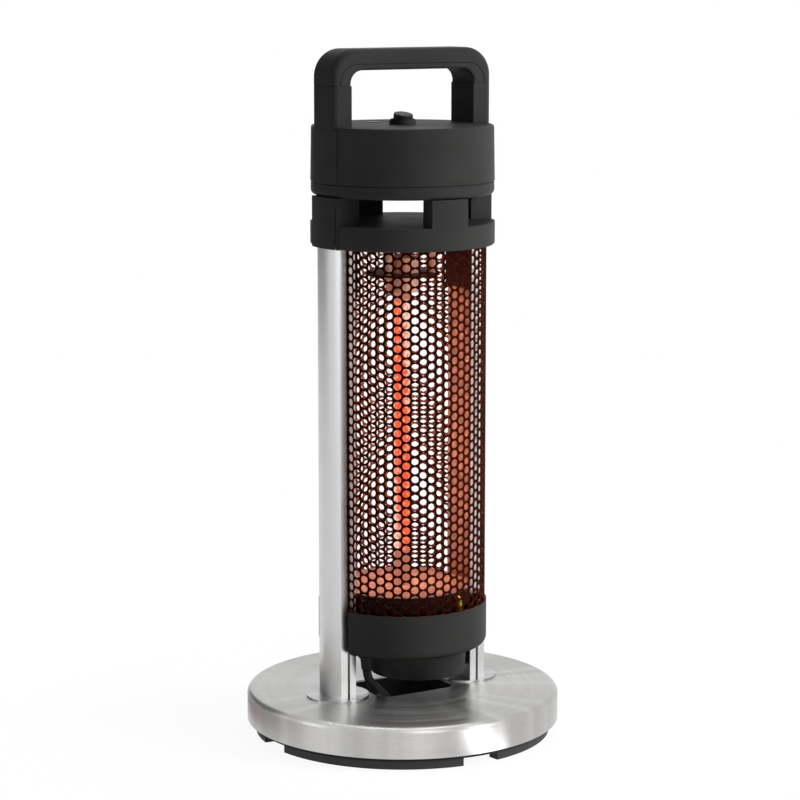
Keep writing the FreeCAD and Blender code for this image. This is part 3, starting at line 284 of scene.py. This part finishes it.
def moulded_plastic(name, colour, roughness):
    """Spark-eroded matte plastic: fine even grain, faint clouds of tone, and painted shade inside the cup
    and the collar by the lamp.
    """
    material, tree, surface = shader(name, colour, roughness, gloss=0.04)
    place = object_place(tree)
    clouds = noise(tree, place, scale=28.0, detail=4.0)
    unshaded = tint(tree, clouds, tones(colour, darkest=0.88, lightest=1.12))
    # Near-black painted shade inside the cup and the collar, by the lamp
    feed(tree, surface.inputs["Base Color"], blend(tree, painted_shade_part(tree), unshaded, opaque(PAINTED_SHADE)))
    vary_roughness(tree, clouds, surface, swing=0.05)
    bump(tree, noise(tree, place, scale=1500.0), surface, strength=0.22, height=0.08)
    return material


# Stops of the fans of sheen on a turned sheet, as shares of its colour
FANS = [(0.35, (0.94, 0.93, 0.92)), (0.5, WHITE), (0.65, (1.14, 1.14, 1.13))]


def brushed_steel(name, colour, roughness):
    """Sheet brushed in circles round the Z axis, with fans of lighter and darker sheen."""
    material, tree, surface = shader(name, colour, roughness, metallic=1.0)
    place = turned_place(tree, along=0.004)
    lines = noise(tree, place, scale=2600.0, detail=3.0)
    brushed = tint(tree, lines, tones(colour, darkest=0.9, lightest=1.08, reach=BROAD))
    fans = tint(tree, noise(tree, way_round(tree), scale=6.0), FANS)
    feed(tree, surface.inputs["Base Color"], blend(tree, 1.0, brushed, fans, manner="MULTIPLY"))
    vary_roughness(tree, noise(tree, place, scale=160.0), surface, swing=0.05)
    bump(tree, lines, surface, strength=0.06, height=0.03)
    surface.inputs["Anisotropic"].default_value = 0.7
    surface.inputs["Anisotropic Rotation"].default_value = 0.25
    tangent = tree.nodes.new("ShaderNodeTangent")
    tangent.direction_type = "RADIAL"
    tangent.axis = "Z"
    feed(tree, surface.inputs["Tangent"], tangent.outputs["Tangent"])
    return material


# Painted shade on the faces of the posts by the lamp: its tint, how far from the middle and how high it
# lies, and how far its faces look out
POST_PAINTED_SHADE = (0.10, 0.072, 0.058)
SHADE_ACROSS = (52.1 * MM, 52.5 * MM)
SHADE_HEIGHT = (80.0 * MM, 90.0 * MM)
SHADE_FACING = (-0.2, 0.1)
# Stretch that draws the die lines out along the post
DIE_LINES = (1.0, 1.0, 0.004)


def painted_shade_on_posts(tree):
    """1 on the faces of the posts by the lamp that get painted shade, 0 on the rest."""
    parts = axes(tree)
    inner = spread(tree, calculate(tree, "ABSOLUTE", parts["X"]), 1.0, 0.0, SHADE_ACROSS)
    above = spread(tree, parts["Z"], 0.0, 1.0, SHADE_HEIGHT)
    facing = spread(tree, facing_out(tree), 1.0, 0.0, SHADE_FACING)
    return calculate(tree, "MULTIPLY", calculate(tree, "MULTIPLY", inner, above), facing)


def satin_extrusion(name, colour):
    """Anodised aluminium with faint die lines along the extrusion, and patches of painted shade on the
    faces by the lamp.
    """
    material, tree, surface = shader(name, colour, roughness=0.32, metallic=1.0)
    place = object_place(tree)
    lines = noise(tree, object_place(tree, DIE_LINES), scale=2200.0)
    post_shade = painted_shade_on_posts(tree)
    unshaded = tint(tree, lines, tones(colour, darkest=0.95, lightest=1.05, reach=BROAD))
    shade_patches = noise(tree, place, scale=240.0, detail=3.0)
    # Dark brown patches of painted shade on the faces by the lamp, which are made hardly metal there
    shade_tone = tint(tree, shade_patches, tones(POST_PAINTED_SHADE, darkest=0.5, lightest=1.5, reach=NARROW))
    feed(tree, surface.inputs["Base Color"], blend(tree, post_shade, unshaded, shade_tone))
    feed(tree, surface.inputs["Metallic"], spread(tree, post_shade, low=1.0, high=0.1, reach=FULL))
    vary_roughness(tree, noise(tree, place, scale=60.0, detail=3.0), surface, swing=0.04)
    bump(tree, lines, surface, strength=0.06, height=0.02)
    return material


def speckled(name, colour, roughness, clouds, grain, depth=0.1, metallic=0.0, gloss=0.5):
    """Plain surface with a tone that varies and a fine grain."""
    material, tree, surface = shader(name, colour, roughness, metallic, gloss)
    place = object_place(tree)
    mottle = noise(tree, place, clouds, detail=4.0)
    feed(tree, surface.inputs["Base Color"], tint(tree, mottle, tones(colour, darkest=0.8, lightest=1.2)))
    vary_roughness(tree, mottle, surface, swing=0.06)
    bump(tree, noise(tree, place, grain), surface, strength=0.2, height=depth)
    return material


# Paint of the grilles outside, painted lamp light of the inside, and how far the faces look out between the
# two
GRILLE_PAINT = (0.0175, 0.0021, 0.0006)
LAMP_LIT_PAINT = (0.060, 0.034, 0.026)
LAMP_LIT_FACING = (-0.4, 0.4)


def grille_sheet(name):
    """Dark heat-proof paint, with painted lamp light in a lighter copper on the side that faces the lamp.
    """
    material, tree, surface = shader(name, GRILLE_PAINT, roughness=0.6, gloss=0.006)
    place = object_place(tree)
    clouds = noise(tree, place, scale=260.0, detail=4.0)
    inner_side = spread(tree, facing_out(tree), 1.0, 0.0, LAMP_LIT_FACING)
    paint = tint(tree, clouds, tones(GRILLE_PAINT, darkest=0.8, lightest=1.2))
    # Painted light: the side that faces the lamp gets a lighter copper
    lamp_lit = tint(tree, clouds, tones(LAMP_LIT_PAINT, darkest=0.7, lightest=1.3))
    feed(tree, surface.inputs["Base Color"], blend(tree, inner_side, paint, lamp_lit))
    vary_roughness(tree, clouds, surface, swing=0.06)
    bump(tree, noise(tree, place, scale=1500.0), surface, strength=0.2, height=0.03)
    return material


# The lit tube: the ribbon's twist in radians, the part that glows, and the colours, with painted highlights
TWIST_PER_METRE = 16.8
TWIST_START = -7.56
TWIST_SHARE = 0.18
LIT_MIDDLE = 217.5
LIT_END = (86.5 * MM, 89.5 * MM)
ALONG_TUBE = (1.0, 1.0, 0.6)
CLEAR_GLASS = (0.01, 0.008, 0.007)
COLD_GLOW = (0.5, 0.16, 0.10)
TUBE_GLOW_AND_HIGHLIGHTS = [(0.42, (1.0, 0.72, 0.59)), (0.53, (1.0, 0.30, 0.155)), (0.64, (1.0, 0.09, 0.018))]
RIBBON_GLOW = [(0.3, (0.9, 0.05, 0.01)), (0.55, (1.0, 0.16, 0.025)), (0.75, (1.0, 0.42, 0.14))]


def twist(tree):
    """From 1 on the side of the tube where the ribbon lies close to the glass to -1 on the other."""
    turned = calculate(tree, "MULTIPLY_ADD", axes(tree)["Z"], TWIST_PER_METRE, angle_round(tree))
    return calculate(tree, "COSINE", calculate(tree, "ADD", turned, TWIST_START))


def cold_end(tree):
    """1 at the two ends of the tube that don't glow, 0 between them."""
    offset = calculate(tree, "SUBTRACT", axes(tree)["Z"], LIT_MIDDLE * MM)
    return spread(tree, calculate(tree, "ABSOLUTE", offset), 0.0, 1.0, LIT_END)


def quartz_glass(name):
    """Tube that the ribbon fills with light: orange-red, with paler streaks that are painted highlights of
    the glass.
    """
    material, tree, surface = shader(name, CLEAR_GLASS, roughness=0.07)
    surface.inputs["Alpha"].default_value = 0.85
    surface.inputs["IOR"].default_value = 1.46
    haze = noise(tree, object_place(tree, ALONG_TUBE), scale=560.0, detail=3.0)
    # Painted highlights: the pale stops of the ramp stand for highlights on the glass
    glow_and_highlights = calculate(tree, "MULTIPLY_ADD", twist(tree), TWIST_SHARE, haze)
    glow = blend(tree, cold_end(tree), tint(tree, glow_and_highlights, TUBE_GLOW_AND_HIGHLIGHTS), opaque(COLD_GLOW))
    feed(tree, surface.inputs["Emission Color"], glow)
    surface.inputs["Emission Strength"].default_value = 0.86
    vary_roughness(tree, haze, surface, swing=0.03)
    return material


def glowing_ribbon(name):
    """Carbon ribbon, orange where it is hottest and red in the weave's hollows."""
    material, tree, surface = shader(name, BLACK, roughness=1.0, gloss=0.0)
    weave = noise(tree, object_place(tree, ALONG_TUBE), scale=700.0)
    feed(tree, surface.inputs["Emission Color"], tint(tree, weave, RIBBON_GLOW))
    surface.inputs["Emission Strength"].default_value = 1.0
    return material


# Level of the lower shield's upper face
SHIELD_FACE = 105.0
FACE_REACH = 0.6


def heat_shield(name, colour):
    """Dulled sheet in its own mottled tone on the face under the lamp, with painted shade on the rest."""
    material, tree, surface = shader(name, colour, roughness=0.5, gloss=0.1)
    face = calculate(tree, "COMPARE", axes(tree)["Z"], SHIELD_FACE * MM, FACE_REACH * MM)
    clouds = noise(tree, object_place(tree), scale=200.0, detail=4.0)
    face_tone = tint(tree, clouds, tones(colour, darkest=0.55, lightest=1.4, reach=NARROW))
    # Painted shade: every face of the shield but the one under the lamp is near-black
    feed(tree, surface.inputs["Base Color"], blend(tree, face, opaque(PAINTED_SHADE), face_tone))
    return material


WIRE_YELLOW = (1.0, 0.5, 0.01)
WIRE_GREEN = (0.06, 0.22, 0.04)
WIRE_STRIPES = [(0.8, WIRE_YELLOW), (0.86, WIRE_GREEN)]
THREADS = (0.2, 0.8)


def striped_wire(name):
    """Yellow insulation with a green stripe that winds along it."""
    material, tree, surface = shader(name, WIRE_YELLOW, roughness=0.4)
    feed(tree, surface.inputs["Base Color"], tint(tree, waves(tree, scale=70.0), WIRE_STRIPES))
    return material


def woven_strap(name, colour):
    material, tree, surface = shader(name, colour, roughness=0.85)
    weave = waves(tree, scale=420.0)
    woven = tint(tree, weave, tones(colour, darkest=0.6, lightest=1.5, reach=THREADS))
    feed(tree, surface.inputs["Base Color"], woven)
    bump(tree, weave, surface, strength=0.5, height=0.2)
    return material


PLASTIC = (0.024, 0.0236, 0.023)
MATERIALS = {
    "steel": brushed_steel("brushed_steel", (0.47, 0.465, 0.46), roughness=0.34),
    "polished": brushed_steel("polished_collar", (0.44, 0.44, 0.44), roughness=0.24),
    "extrusion": satin_extrusion("satin_aluminium", (0.57, 0.575, 0.57)),
    "black_plastic": moulded_plastic("charcoal_plastic", PLASTIC, roughness=0.5),
    "handle_plastic": moulded_plastic("grip_plastic", PLASTIC, roughness=0.46),
    "rubber_feet": speckled("foot_rubber", (0.022, 0.022, 0.022), roughness=0.75, clouds=120.0,
                            grain=1200.0),
    "iron": speckled("ballast_iron", (0.06, 0.06, 0.062), roughness=0.65, clouds=160.0, grain=500.0,
                     depth=0.4, metallic=0.6),
    "zinc": speckled("zinc_plate", (0.55, 0.55, 0.52), roughness=0.35, clouds=300.0, grain=900.0,
                     depth=0.03, metallic=1.0),
    "grille": grille_sheet("grille_paint"),
    # Near-black painted shade for the upper brackets, where the posts stand in shade
    "bracket": speckled("bracket_painted_shade", (0.006, 0.003, 0.0025), roughness=0.6, clouds=260.0, grain=1500.0,
                        depth=0.03, gloss=0.06),
    "quartz": quartz_glass("quartz_glass"),
    "glow": glowing_ribbon("glowing_carbon"),
    "ceramic": speckled("ceramic", (0.42, 0.33, 0.27), roughness=0.6, clouds=200.0, grain=900.0,
                        depth=0.05, gloss=0.2),
    "shield": heat_shield("heat_shield", (0.11, 0.092, 0.083)),
    "cord": speckled("cord_rubber", (0.008, 0.008, 0.0085), roughness=0.5, clouds=150.0, grain=1600.0,
                     depth=0.04, gloss=0.15),
    "tie": woven_strap("tie_strap", (0.02, 0.02, 0.022)),
    "pins": speckled("nickel_pins", (0.66, 0.63, 0.56), roughness=0.22, clouds=250.0, grain=900.0,
                     depth=0.01, metallic=1.0),
    "earth": striped_wire("earth_insulation"),
    "lens": speckled("smoked_lens", (0.019, 0.017, 0.017), roughness=0.4, clouds=200.0, grain=900.0,
                     depth=0.01, gloss=0.15),
    "rocker": speckled("rocker_cap", (0.012, 0.012, 0.013), roughness=0.42, clouds=150.0, grain=1500.0,
                       depth=0.04, gloss=0.25),
}
# Solids by the lamp that get another material than their slot: the upper brackets painted shade, the
# standoffs ceramic
LAMP_SIDE_NODES = {"upper_brackets": "bracket", "shield_standoffs": "ceramic"}


def dress_nodes():
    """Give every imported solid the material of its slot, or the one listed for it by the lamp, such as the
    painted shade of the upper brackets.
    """
    for part in frame["record"]["subparts"]:
        node = part["node"]
        skin = nodes[node].data
        skin.materials.clear()
        skin.materials.append(MATERIALS[LAMP_SIDE_NODES.get(node, part["material_slot"])])


# Pieces
def add_piece(name, mesh, slot, body="heater"):
    piece = add_object(name, mesh)
    mesh.materials.append(MATERIALS[slot])
    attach(piece, body)
    return piece


# Cord: the route's points, then the turns of the coil and the lead to the plug
CORD_RADIUS = 3.1 * MM
CORD_ROUTE = [(-42.0, -21.8, 52.0), (-41.0, -21.4, 45.5), (-35.0, -18.8, 39.2), (-25.0, -14.3, 30.6),
              (-13.5, -8.2, 20.2), (-2.5, 0.5, 11.0), (5.5, 12.5, 5.8), (9.5, 28.0, 3.7),
              (9.5, 50.0, 3.4), (7.0, 76.0, 3.3), (6.0, 104.0, 3.4), (12.0, 131.0, 3.3),
              (27.0, 156.0, 3.8)]
LAST_RUN = 30.0
COIL_MIDDLE = Vector((103.0, 183.1, 4.6))
COIL_OUTER = 47.0
COIL_PITCH = 6.8
COIL_FROM = math.radians(149.0)
COIL_HALF_TURNS = 6
COIL_DIP = 1.2
POINTS_PER_HALF_TURN = 8
PLUG_HEIGHT = 18.3
# Runs from the coil to the plug, each with its share of the rise
PLUG_LEAD = ((12.0, 0.0), (22.0, 1.0), (12.0, 0.0))
CORD_STEPS = 6
CORD_FACETS = 4
SPLINE_ORDER = 3


def coil_points():
    """Control points of the coil: a spiral in, a climb in half a turn and a spiral out on top."""
    step = COIL_PITCH / 2
    inner = COIL_OUTER - COIL_HALF_TURNS * step
    half_angle = math.pi / POINTS_PER_HALF_TURN / 2
    outside = 1 / math.cos(half_angle)
    points = []
    for number in range((2 * COIL_HALF_TURNS + 1) * POINTS_PER_HALF_TURN + 1):
        turn = number / POINTS_PER_HALF_TURN
        climb = min(max(turn - COIL_HALF_TURNS, 0.0), 1.0)
        radius = inner + step * (max(COIL_HALF_TURNS - turn, 0.0) + max(turn - COIL_HALF_TURNS - 1, 0.0))
        radius -= COIL_DIP * math.sin(math.pi * climb) ** 2
        lift = COIL_PITCH * (climb - math.sin(2 * math.pi * climb) / (2 * math.pi))
        angle = COIL_FROM - math.pi * turn
        points.append(COIL_MIDDLE + Vector((radius * outside * math.cos(angle),
                                            radius * outside * math.sin(angle), lift)))
    return points


def cord_points():
    heading = Vector((math.sin(COIL_FROM), -math.cos(COIL_FROM), 0.0))
    outward = Vector((math.cos(COIL_FROM), math.sin(COIL_FROM), 0.0))
    coil_start = COIL_MIDDLE + outward * COIL_OUTER
    points = [Vector(point) for point in CORD_ROUTE]
    points.append(coil_start - heading * LAST_RUN)
    points.extend(coil_points())
    here = COIL_MIDDLE - outward * COIL_OUTER + Vector((0.0, 0.0, COIL_PITCH))
    rise = PLUG_HEIGHT - here.z
    for run, share in PLUG_LEAD:
        here = here - heading * run + Vector((0.0, 0.0, rise * share))
        points.append(here)
    return points


def add_cord():
    curve = bpy.data.curves.new("mains_cord_jacket", "CURVE")
    curve.dimensions = "3D"
    curve.resolution_u = CORD_STEPS
    curve.bevel_depth = CORD_RADIUS
    curve.bevel_resolution = CORD_FACETS
    curve.use_fill_caps = True
    spline = curve.splines.new("NURBS")
    points = cord_points()
    spline.points.add(len(points) - 1)
    for place, point in zip(spline.points, points):
        place.co = (*(point * MM), 1.0)
    spline.order_u = SPLINE_ORDER
    spline.use_endpoint_u = True
    cord = add_piece("mains_cord_jacket", curve, "cord")
    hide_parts("mains_cord", "cord_coil")


# Grilles: a sheet unrolled to (across, height), bent round and straight at the slots
GRILLE_RADIUS = 58.0
GRILLE_SHEET = 0.8
GRILLE_EDGE = math.radians(66.3)
GRILLE_FLANGE = 12.5
GRILLE_COLUMNS = 25
COLUMN_PITCH = 5.97
ROW_PITCH = 6.42
HOLE_RADIUS = 2.7
HOLE_CORNERS = 12
HOLE_STRETCH = 1.1
WELD_DIGITS = 3
# Name, side, shift of the columns and height of the first row
GRILLES = [("rear", 1, -1.24, 2.15), ("front", -1, -1.03, 1.8)]


def sheet_place(across, depth):
    """Where a point of the unrolled sheet comes in plan, with the middle of the sheet on +Y."""
    bend = GRILLE_RADIUS * GRILLE_EDGE
    radius = GRILLE_RADIUS - depth * GRILLE_SHEET
    angle = max(-GRILLE_EDGE, min(GRILLE_EDGE, across / GRILLE_RADIUS))
    past = max(abs(across) - bend, 0.0)
    return radius * math.sin(angle), radius * math.cos(angle) - past


def cell_outline(half_width, half_height):
    """Twelve points round a cell that match those of the next column, half a row up."""
    quarter = half_height / 2
    right = [(half_width, -half_height), (half_width, -quarter), (half_width, 0.0), (half_width, quarter)]
    left = [(-half_width, half_height), (-half_width, quarter), (-half_width, 0.0), (-half_width, -quarter)]
    return [*right, (half_width, half_height), (0.0, half_height), *left, (-half_width, -half_height),
            (0.0, -half_height)]


def hole_outline():
    """One point of the round hole for each point of the cell."""
    ways = [math.atan2(up * HOLE_STRETCH, across) for across, up in cell_outline(1.0, 1.0)]
    return [(HOLE_RADIUS * math.cos(way), HOLE_RADIUS * math.sin(way)) for way in ways]


def shifted(outline, across, height):
    return [(across + step, height + rise) for step, rise in outline]


def upright(left, right, foot, head):
    """Corners of a plain rectangle of the sheet."""
    return [(left, foot), (right, foot), (right, head), (left, head)]


def grille_mesh(name, side, low, high, shift, first_row):
    """Half shell of staggered round holes, with plain margins in the cup, the collar and the slots."""
    shell = bmesh.new()
    corners = {}

    def corner(point, depth):
        across, height = point
        key = (round(across, WELD_DIGITS), round(height, WELD_DIGITS), depth)
        if key not in corners:
            x, y = sheet_place(across, depth)
            corners[key] = shell.verts.new((side * x * MM, side * y * MM, height * MM))
        return corners[key]

    def wall(points):
        shell.faces.new([corner(point, 0) for point in points])
        shell.faces.new([corner(point, 1) for point in reversed(points)])

    half_width = COLUMN_PITCH / 2
    half_height = ROW_PITCH / 2
    rows = int((high - low - first_row) / ROW_PITCH)
    start = low + first_row
    stop = start + rows * ROW_PITCH
    last = GRILLE_COLUMNS // 2
    for column in range(-last, last + 1):
        across = column * COLUMN_PITCH + shift
        odd = column % 2
        for row in range(rows - odd):
            height = start + half_height * (2 * row + 1 + odd)
            cell = shifted(cell_outline(half_width, half_height), across, height)
            hole = shifted(hole_outline(), across, height)
            for number in range(HOLE_CORNERS):
                after = (number + 1) % HOLE_CORNERS
                wall([cell[number], cell[after], hole[after], hole[number]])
                shell.faces.new([corner(hole[number], 0), corner(hole[after], 0), corner(hole[after], 1),
                                 corner(hole[number], 1)])
        plain = [(low, start), (stop, high)]
        if odd:
            plain = [(start, start + half_height), (stop - half_height, stop), *plain]
        for foot, head in plain:
            wall(upright(across - half_width, across + half_width, foot, head))
    inner = last * COLUMN_PITCH + half_width
    outer = GRILLE_RADIUS * GRILLE_EDGE + GRILLE_FLANGE
    wall(upright(shift + inner, outer, low, high))
    wall(upright(-outer, shift - inner, low, high))
    bmesh.ops.recalc_face_normals(shell, faces=shell.faces)
    mesh = bpy.data.meshes.new(name)
    shell.to_mesh(mesh)
    shell.free()
    return mesh


def add_grilles():
    for name, side, shift, first_row in GRILLES:
        low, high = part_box(f"grille_{name}")
        mesh = grille_mesh(f"perforated_{name}", side, low.z / MM, high.z / MM, shift, first_row)
        piece = add_piece(f"perforated_{name}", mesh, "grille")
        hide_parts(f"grille_{name}")


# Studio
SET_MIDDLE = (0.0, 0.0, 0.25)
CARD_FOOT = 0.003
MATTE = 0.9
FLOOR_HALF = 6.0
FLOOR_WHITE = (0.9, 0.9, 0.9)
# Share of pure white in the floor beside the base, and the distances over which it becomes whole
FLOOR_SHARE = 0.93
FLOOR_FADE = (0.13, 0.3)
# Strength of the world where it lights a surface
WORLD_LIGHT = 0.27


def area_light(name, place, target, size, power):
    data = bpy.data.lights.new(name, "AREA")
    data.shape = "RECTANGLE"
    data.size, data.size_y = size
    data.energy = power
    light = add_object(name, data)
    light.location = place
    light.rotation_euler = (Vector(target) - Vector(place)).to_track_quat("-Z", "Y").to_euler()
    return light


def flat_sheet(name, corners):
    """Object of one face."""
    mesh = bpy.data.meshes.new(name)
    mesh.from_pydata(corners, [], [tuple(range(len(corners)))])
    return add_object(name, mesh)


def grey_card(name, direction, distance, size, tone, lean=0.0):
    """Card beside the set that changes what the metal reflects, out of the camera's sight."""
    half, high = size
    card = flat_sheet(name, [(-half, 0.0, 0.0), (half, 0.0, 0.0), (half, 0.0, high), (-half, 0.0, high)])
    angle = math.radians(direction)
    card.location = (distance * math.cos(angle), distance * math.sin(angle), CARD_FOOT)
    card.rotation_euler = (math.radians(lean), 0.0, angle + math.pi / 2)
    material = shader(name, (tone, tone, tone), MATTE)[0]
    card.data.materials.append(material)
    card.visible_camera = False
    card.visible_shadow = False
    card.visible_diffuse = False


# Lamps in the tube, and weak ones for what the upper disc throws back
GLOW_COLOUR = (1.0, 0.32, 0.175)
GLOW_RADIUS = 7.0
GLOW_COUNT = 6
GLOW_LOW = 140.0
GLOW_HIGH = 295.0
GLOW_POWER = 2.2
SHEEN_POWER = 0.08
THROWN_BACK = 32.0
THROWN_BACK_POWER = 0.014
THROWN_BACK_LEVELS = (317.0, 338.0)
THROWN_BACK_WAYS = (30.0, 150.0, 270.0)


def glow_light(name, place, power, on_metal):
    data = bpy.data.lights.new(name, "POINT")
    data.energy = power
    data.color = GLOW_COLOUR
    data.shadow_soft_size = GLOW_RADIUS * MM
    light = add_object(name, data)
    light.location = Vector(place) * MM
    light.visible_camera = False
    light.visible_transmission = False
    light.visible_glossy = on_metal
    light.visible_diffuse = not on_metal


def tube_lights(name, power, on_metal):
    """Light of the ribbon on the painted sheet and ceramic, or on the metal of the posts."""
    for number in range(GLOW_COUNT):
        height = GLOW_LOW + (GLOW_HIGH - GLOW_LOW) * number / (GLOW_COUNT - 1)
        glow_light(f"{name}_{number}", (0.0, 0.0, height), power, on_metal)


def thrown_back_lights():
    for height in THROWN_BACK_LEVELS:
        for way in THROWN_BACK_WAYS:
            angle = math.radians(way)
            place = (THROWN_BACK * math.cos(angle), THROWN_BACK * math.sin(angle), height)
            glow_light("thrown_back", place, THROWN_BACK_POWER, False)


def seen_directly(tree):
    """1 for what the camera, a reflection or a glass sees, 0 for light that falls on a surface."""
    path = tree.nodes.new("ShaderNodeLightPath").outputs
    seen = calculate(tree, "MAXIMUM", path["Is Camera Ray"], path["Is Glossy Ray"])
    return calculate(tree, "MAXIMUM", seen, path["Is Transmission Ray"])


def white_world():
    world = bpy.data.worlds.new("studio")
    bpy.context.scene.world = world
    world.use_nodes = True
    tree = world.node_tree
    background = find_node(tree, "BACKGROUND")
    background.inputs["Color"].default_value = opaque(WHITE)
    feed(tree, background.inputs["Strength"], spread(tree, seen_directly(tree), WORLD_LIGHT, 1.0, FULL))


def white_floor():
    """Floor that is seen as plain white, apart from the shadow near the base."""
    half = FLOOR_HALF
    corners = [(-half, -half, 0.0), (half, -half, 0.0), (half, half, 0.0), (-half, half, 0.0)]
    floor = flat_sheet("floor", corners)
    material, tree, surface = shader("floor_white", FLOOR_WHITE, MATTE)
    floor.data.materials.append(material)
    glow = tree.nodes.new("ShaderNodeEmission")
    glow.inputs["Color"].default_value = opaque(WHITE)
    distance = calculate(tree, "LENGTH", object_place(tree), kind=VECTORS)
    white_share = spread(tree, distance, FLOOR_SHARE, 1.0, FLOOR_FADE)
    mix = tree.nodes.new("ShaderNodeMixShader")
    feed(tree, mix.inputs["Fac"], calculate(tree, "MULTIPLY", white_share, seen_directly(tree)))
    feed(tree, mix.inputs[1], surface.outputs["BSDF"])
    feed(tree, mix.inputs[2], glow.outputs["Emission"])
    feed(tree, find_node(tree, "OUTPUT_MATERIAL").inputs["Surface"], mix.outputs["Shader"])


# Strips that the metal reflects: name, place, size and power
STRIPS = [("front_strip", (-0.52, -2.24, 0.8), (1.0, 1.6), 9.0),
          ("right_strip", (1.15, -1.99, 0.8), (0.7, 1.6), 10.0),
          ("side_strip", (-2.0, 0.3, 0.3), (0.5, 1.2), 4.0)]
# Strip on the floor that shines up, for the rim of the base
RIM_STRIP = (0.02, -0.23)
RIM_STRIP_AIM = 1.0


def add_studio():
    white_world()
    white_floor()
    key = area_light("key", place=(1.49, -1.34, 0.95), target=SET_MIDDLE, size=(0.9, 1.5), power=80.0)
    key.visible_glossy = False
    area_light("top", place=(0.2, 0.2, 2.2), target=(0.0, 0.0, 0.2), size=(1.2, 1.2), power=14.0)
    for name, place, size, power in STRIPS:
        strip = area_light(name, place, SET_MIDDLE, size, power)
        strip.visible_diffuse = False
    rim_strip = area_light("rim_strip", place=(*RIM_STRIP, CARD_FOOT), target=(*RIM_STRIP, RIM_STRIP_AIM),
                           size=(0.04, 0.22), power=0.085)
    rim_strip.visible_diffuse = False
    rim_strip.visible_camera = False
    grey_card("rear_card", direction=108.0, distance=2.2, size=(1.05, 2.0), tone=0.2)
    grey_card("side_card", direction=150.0, distance=0.13, size=(0.12, 0.13), tone=0.58, lean=88.0)
    tube_lights("glow", GLOW_POWER, on_metal=False)
    tube_lights("sheen", SHEEN_POWER, on_metal=True)
    thrown_back_lights()
    bpy.context.scene.view_settings.view_transform = "Standard"


add_camera()
dress_nodes()
add_cord()
add_grilles()
add_studio()
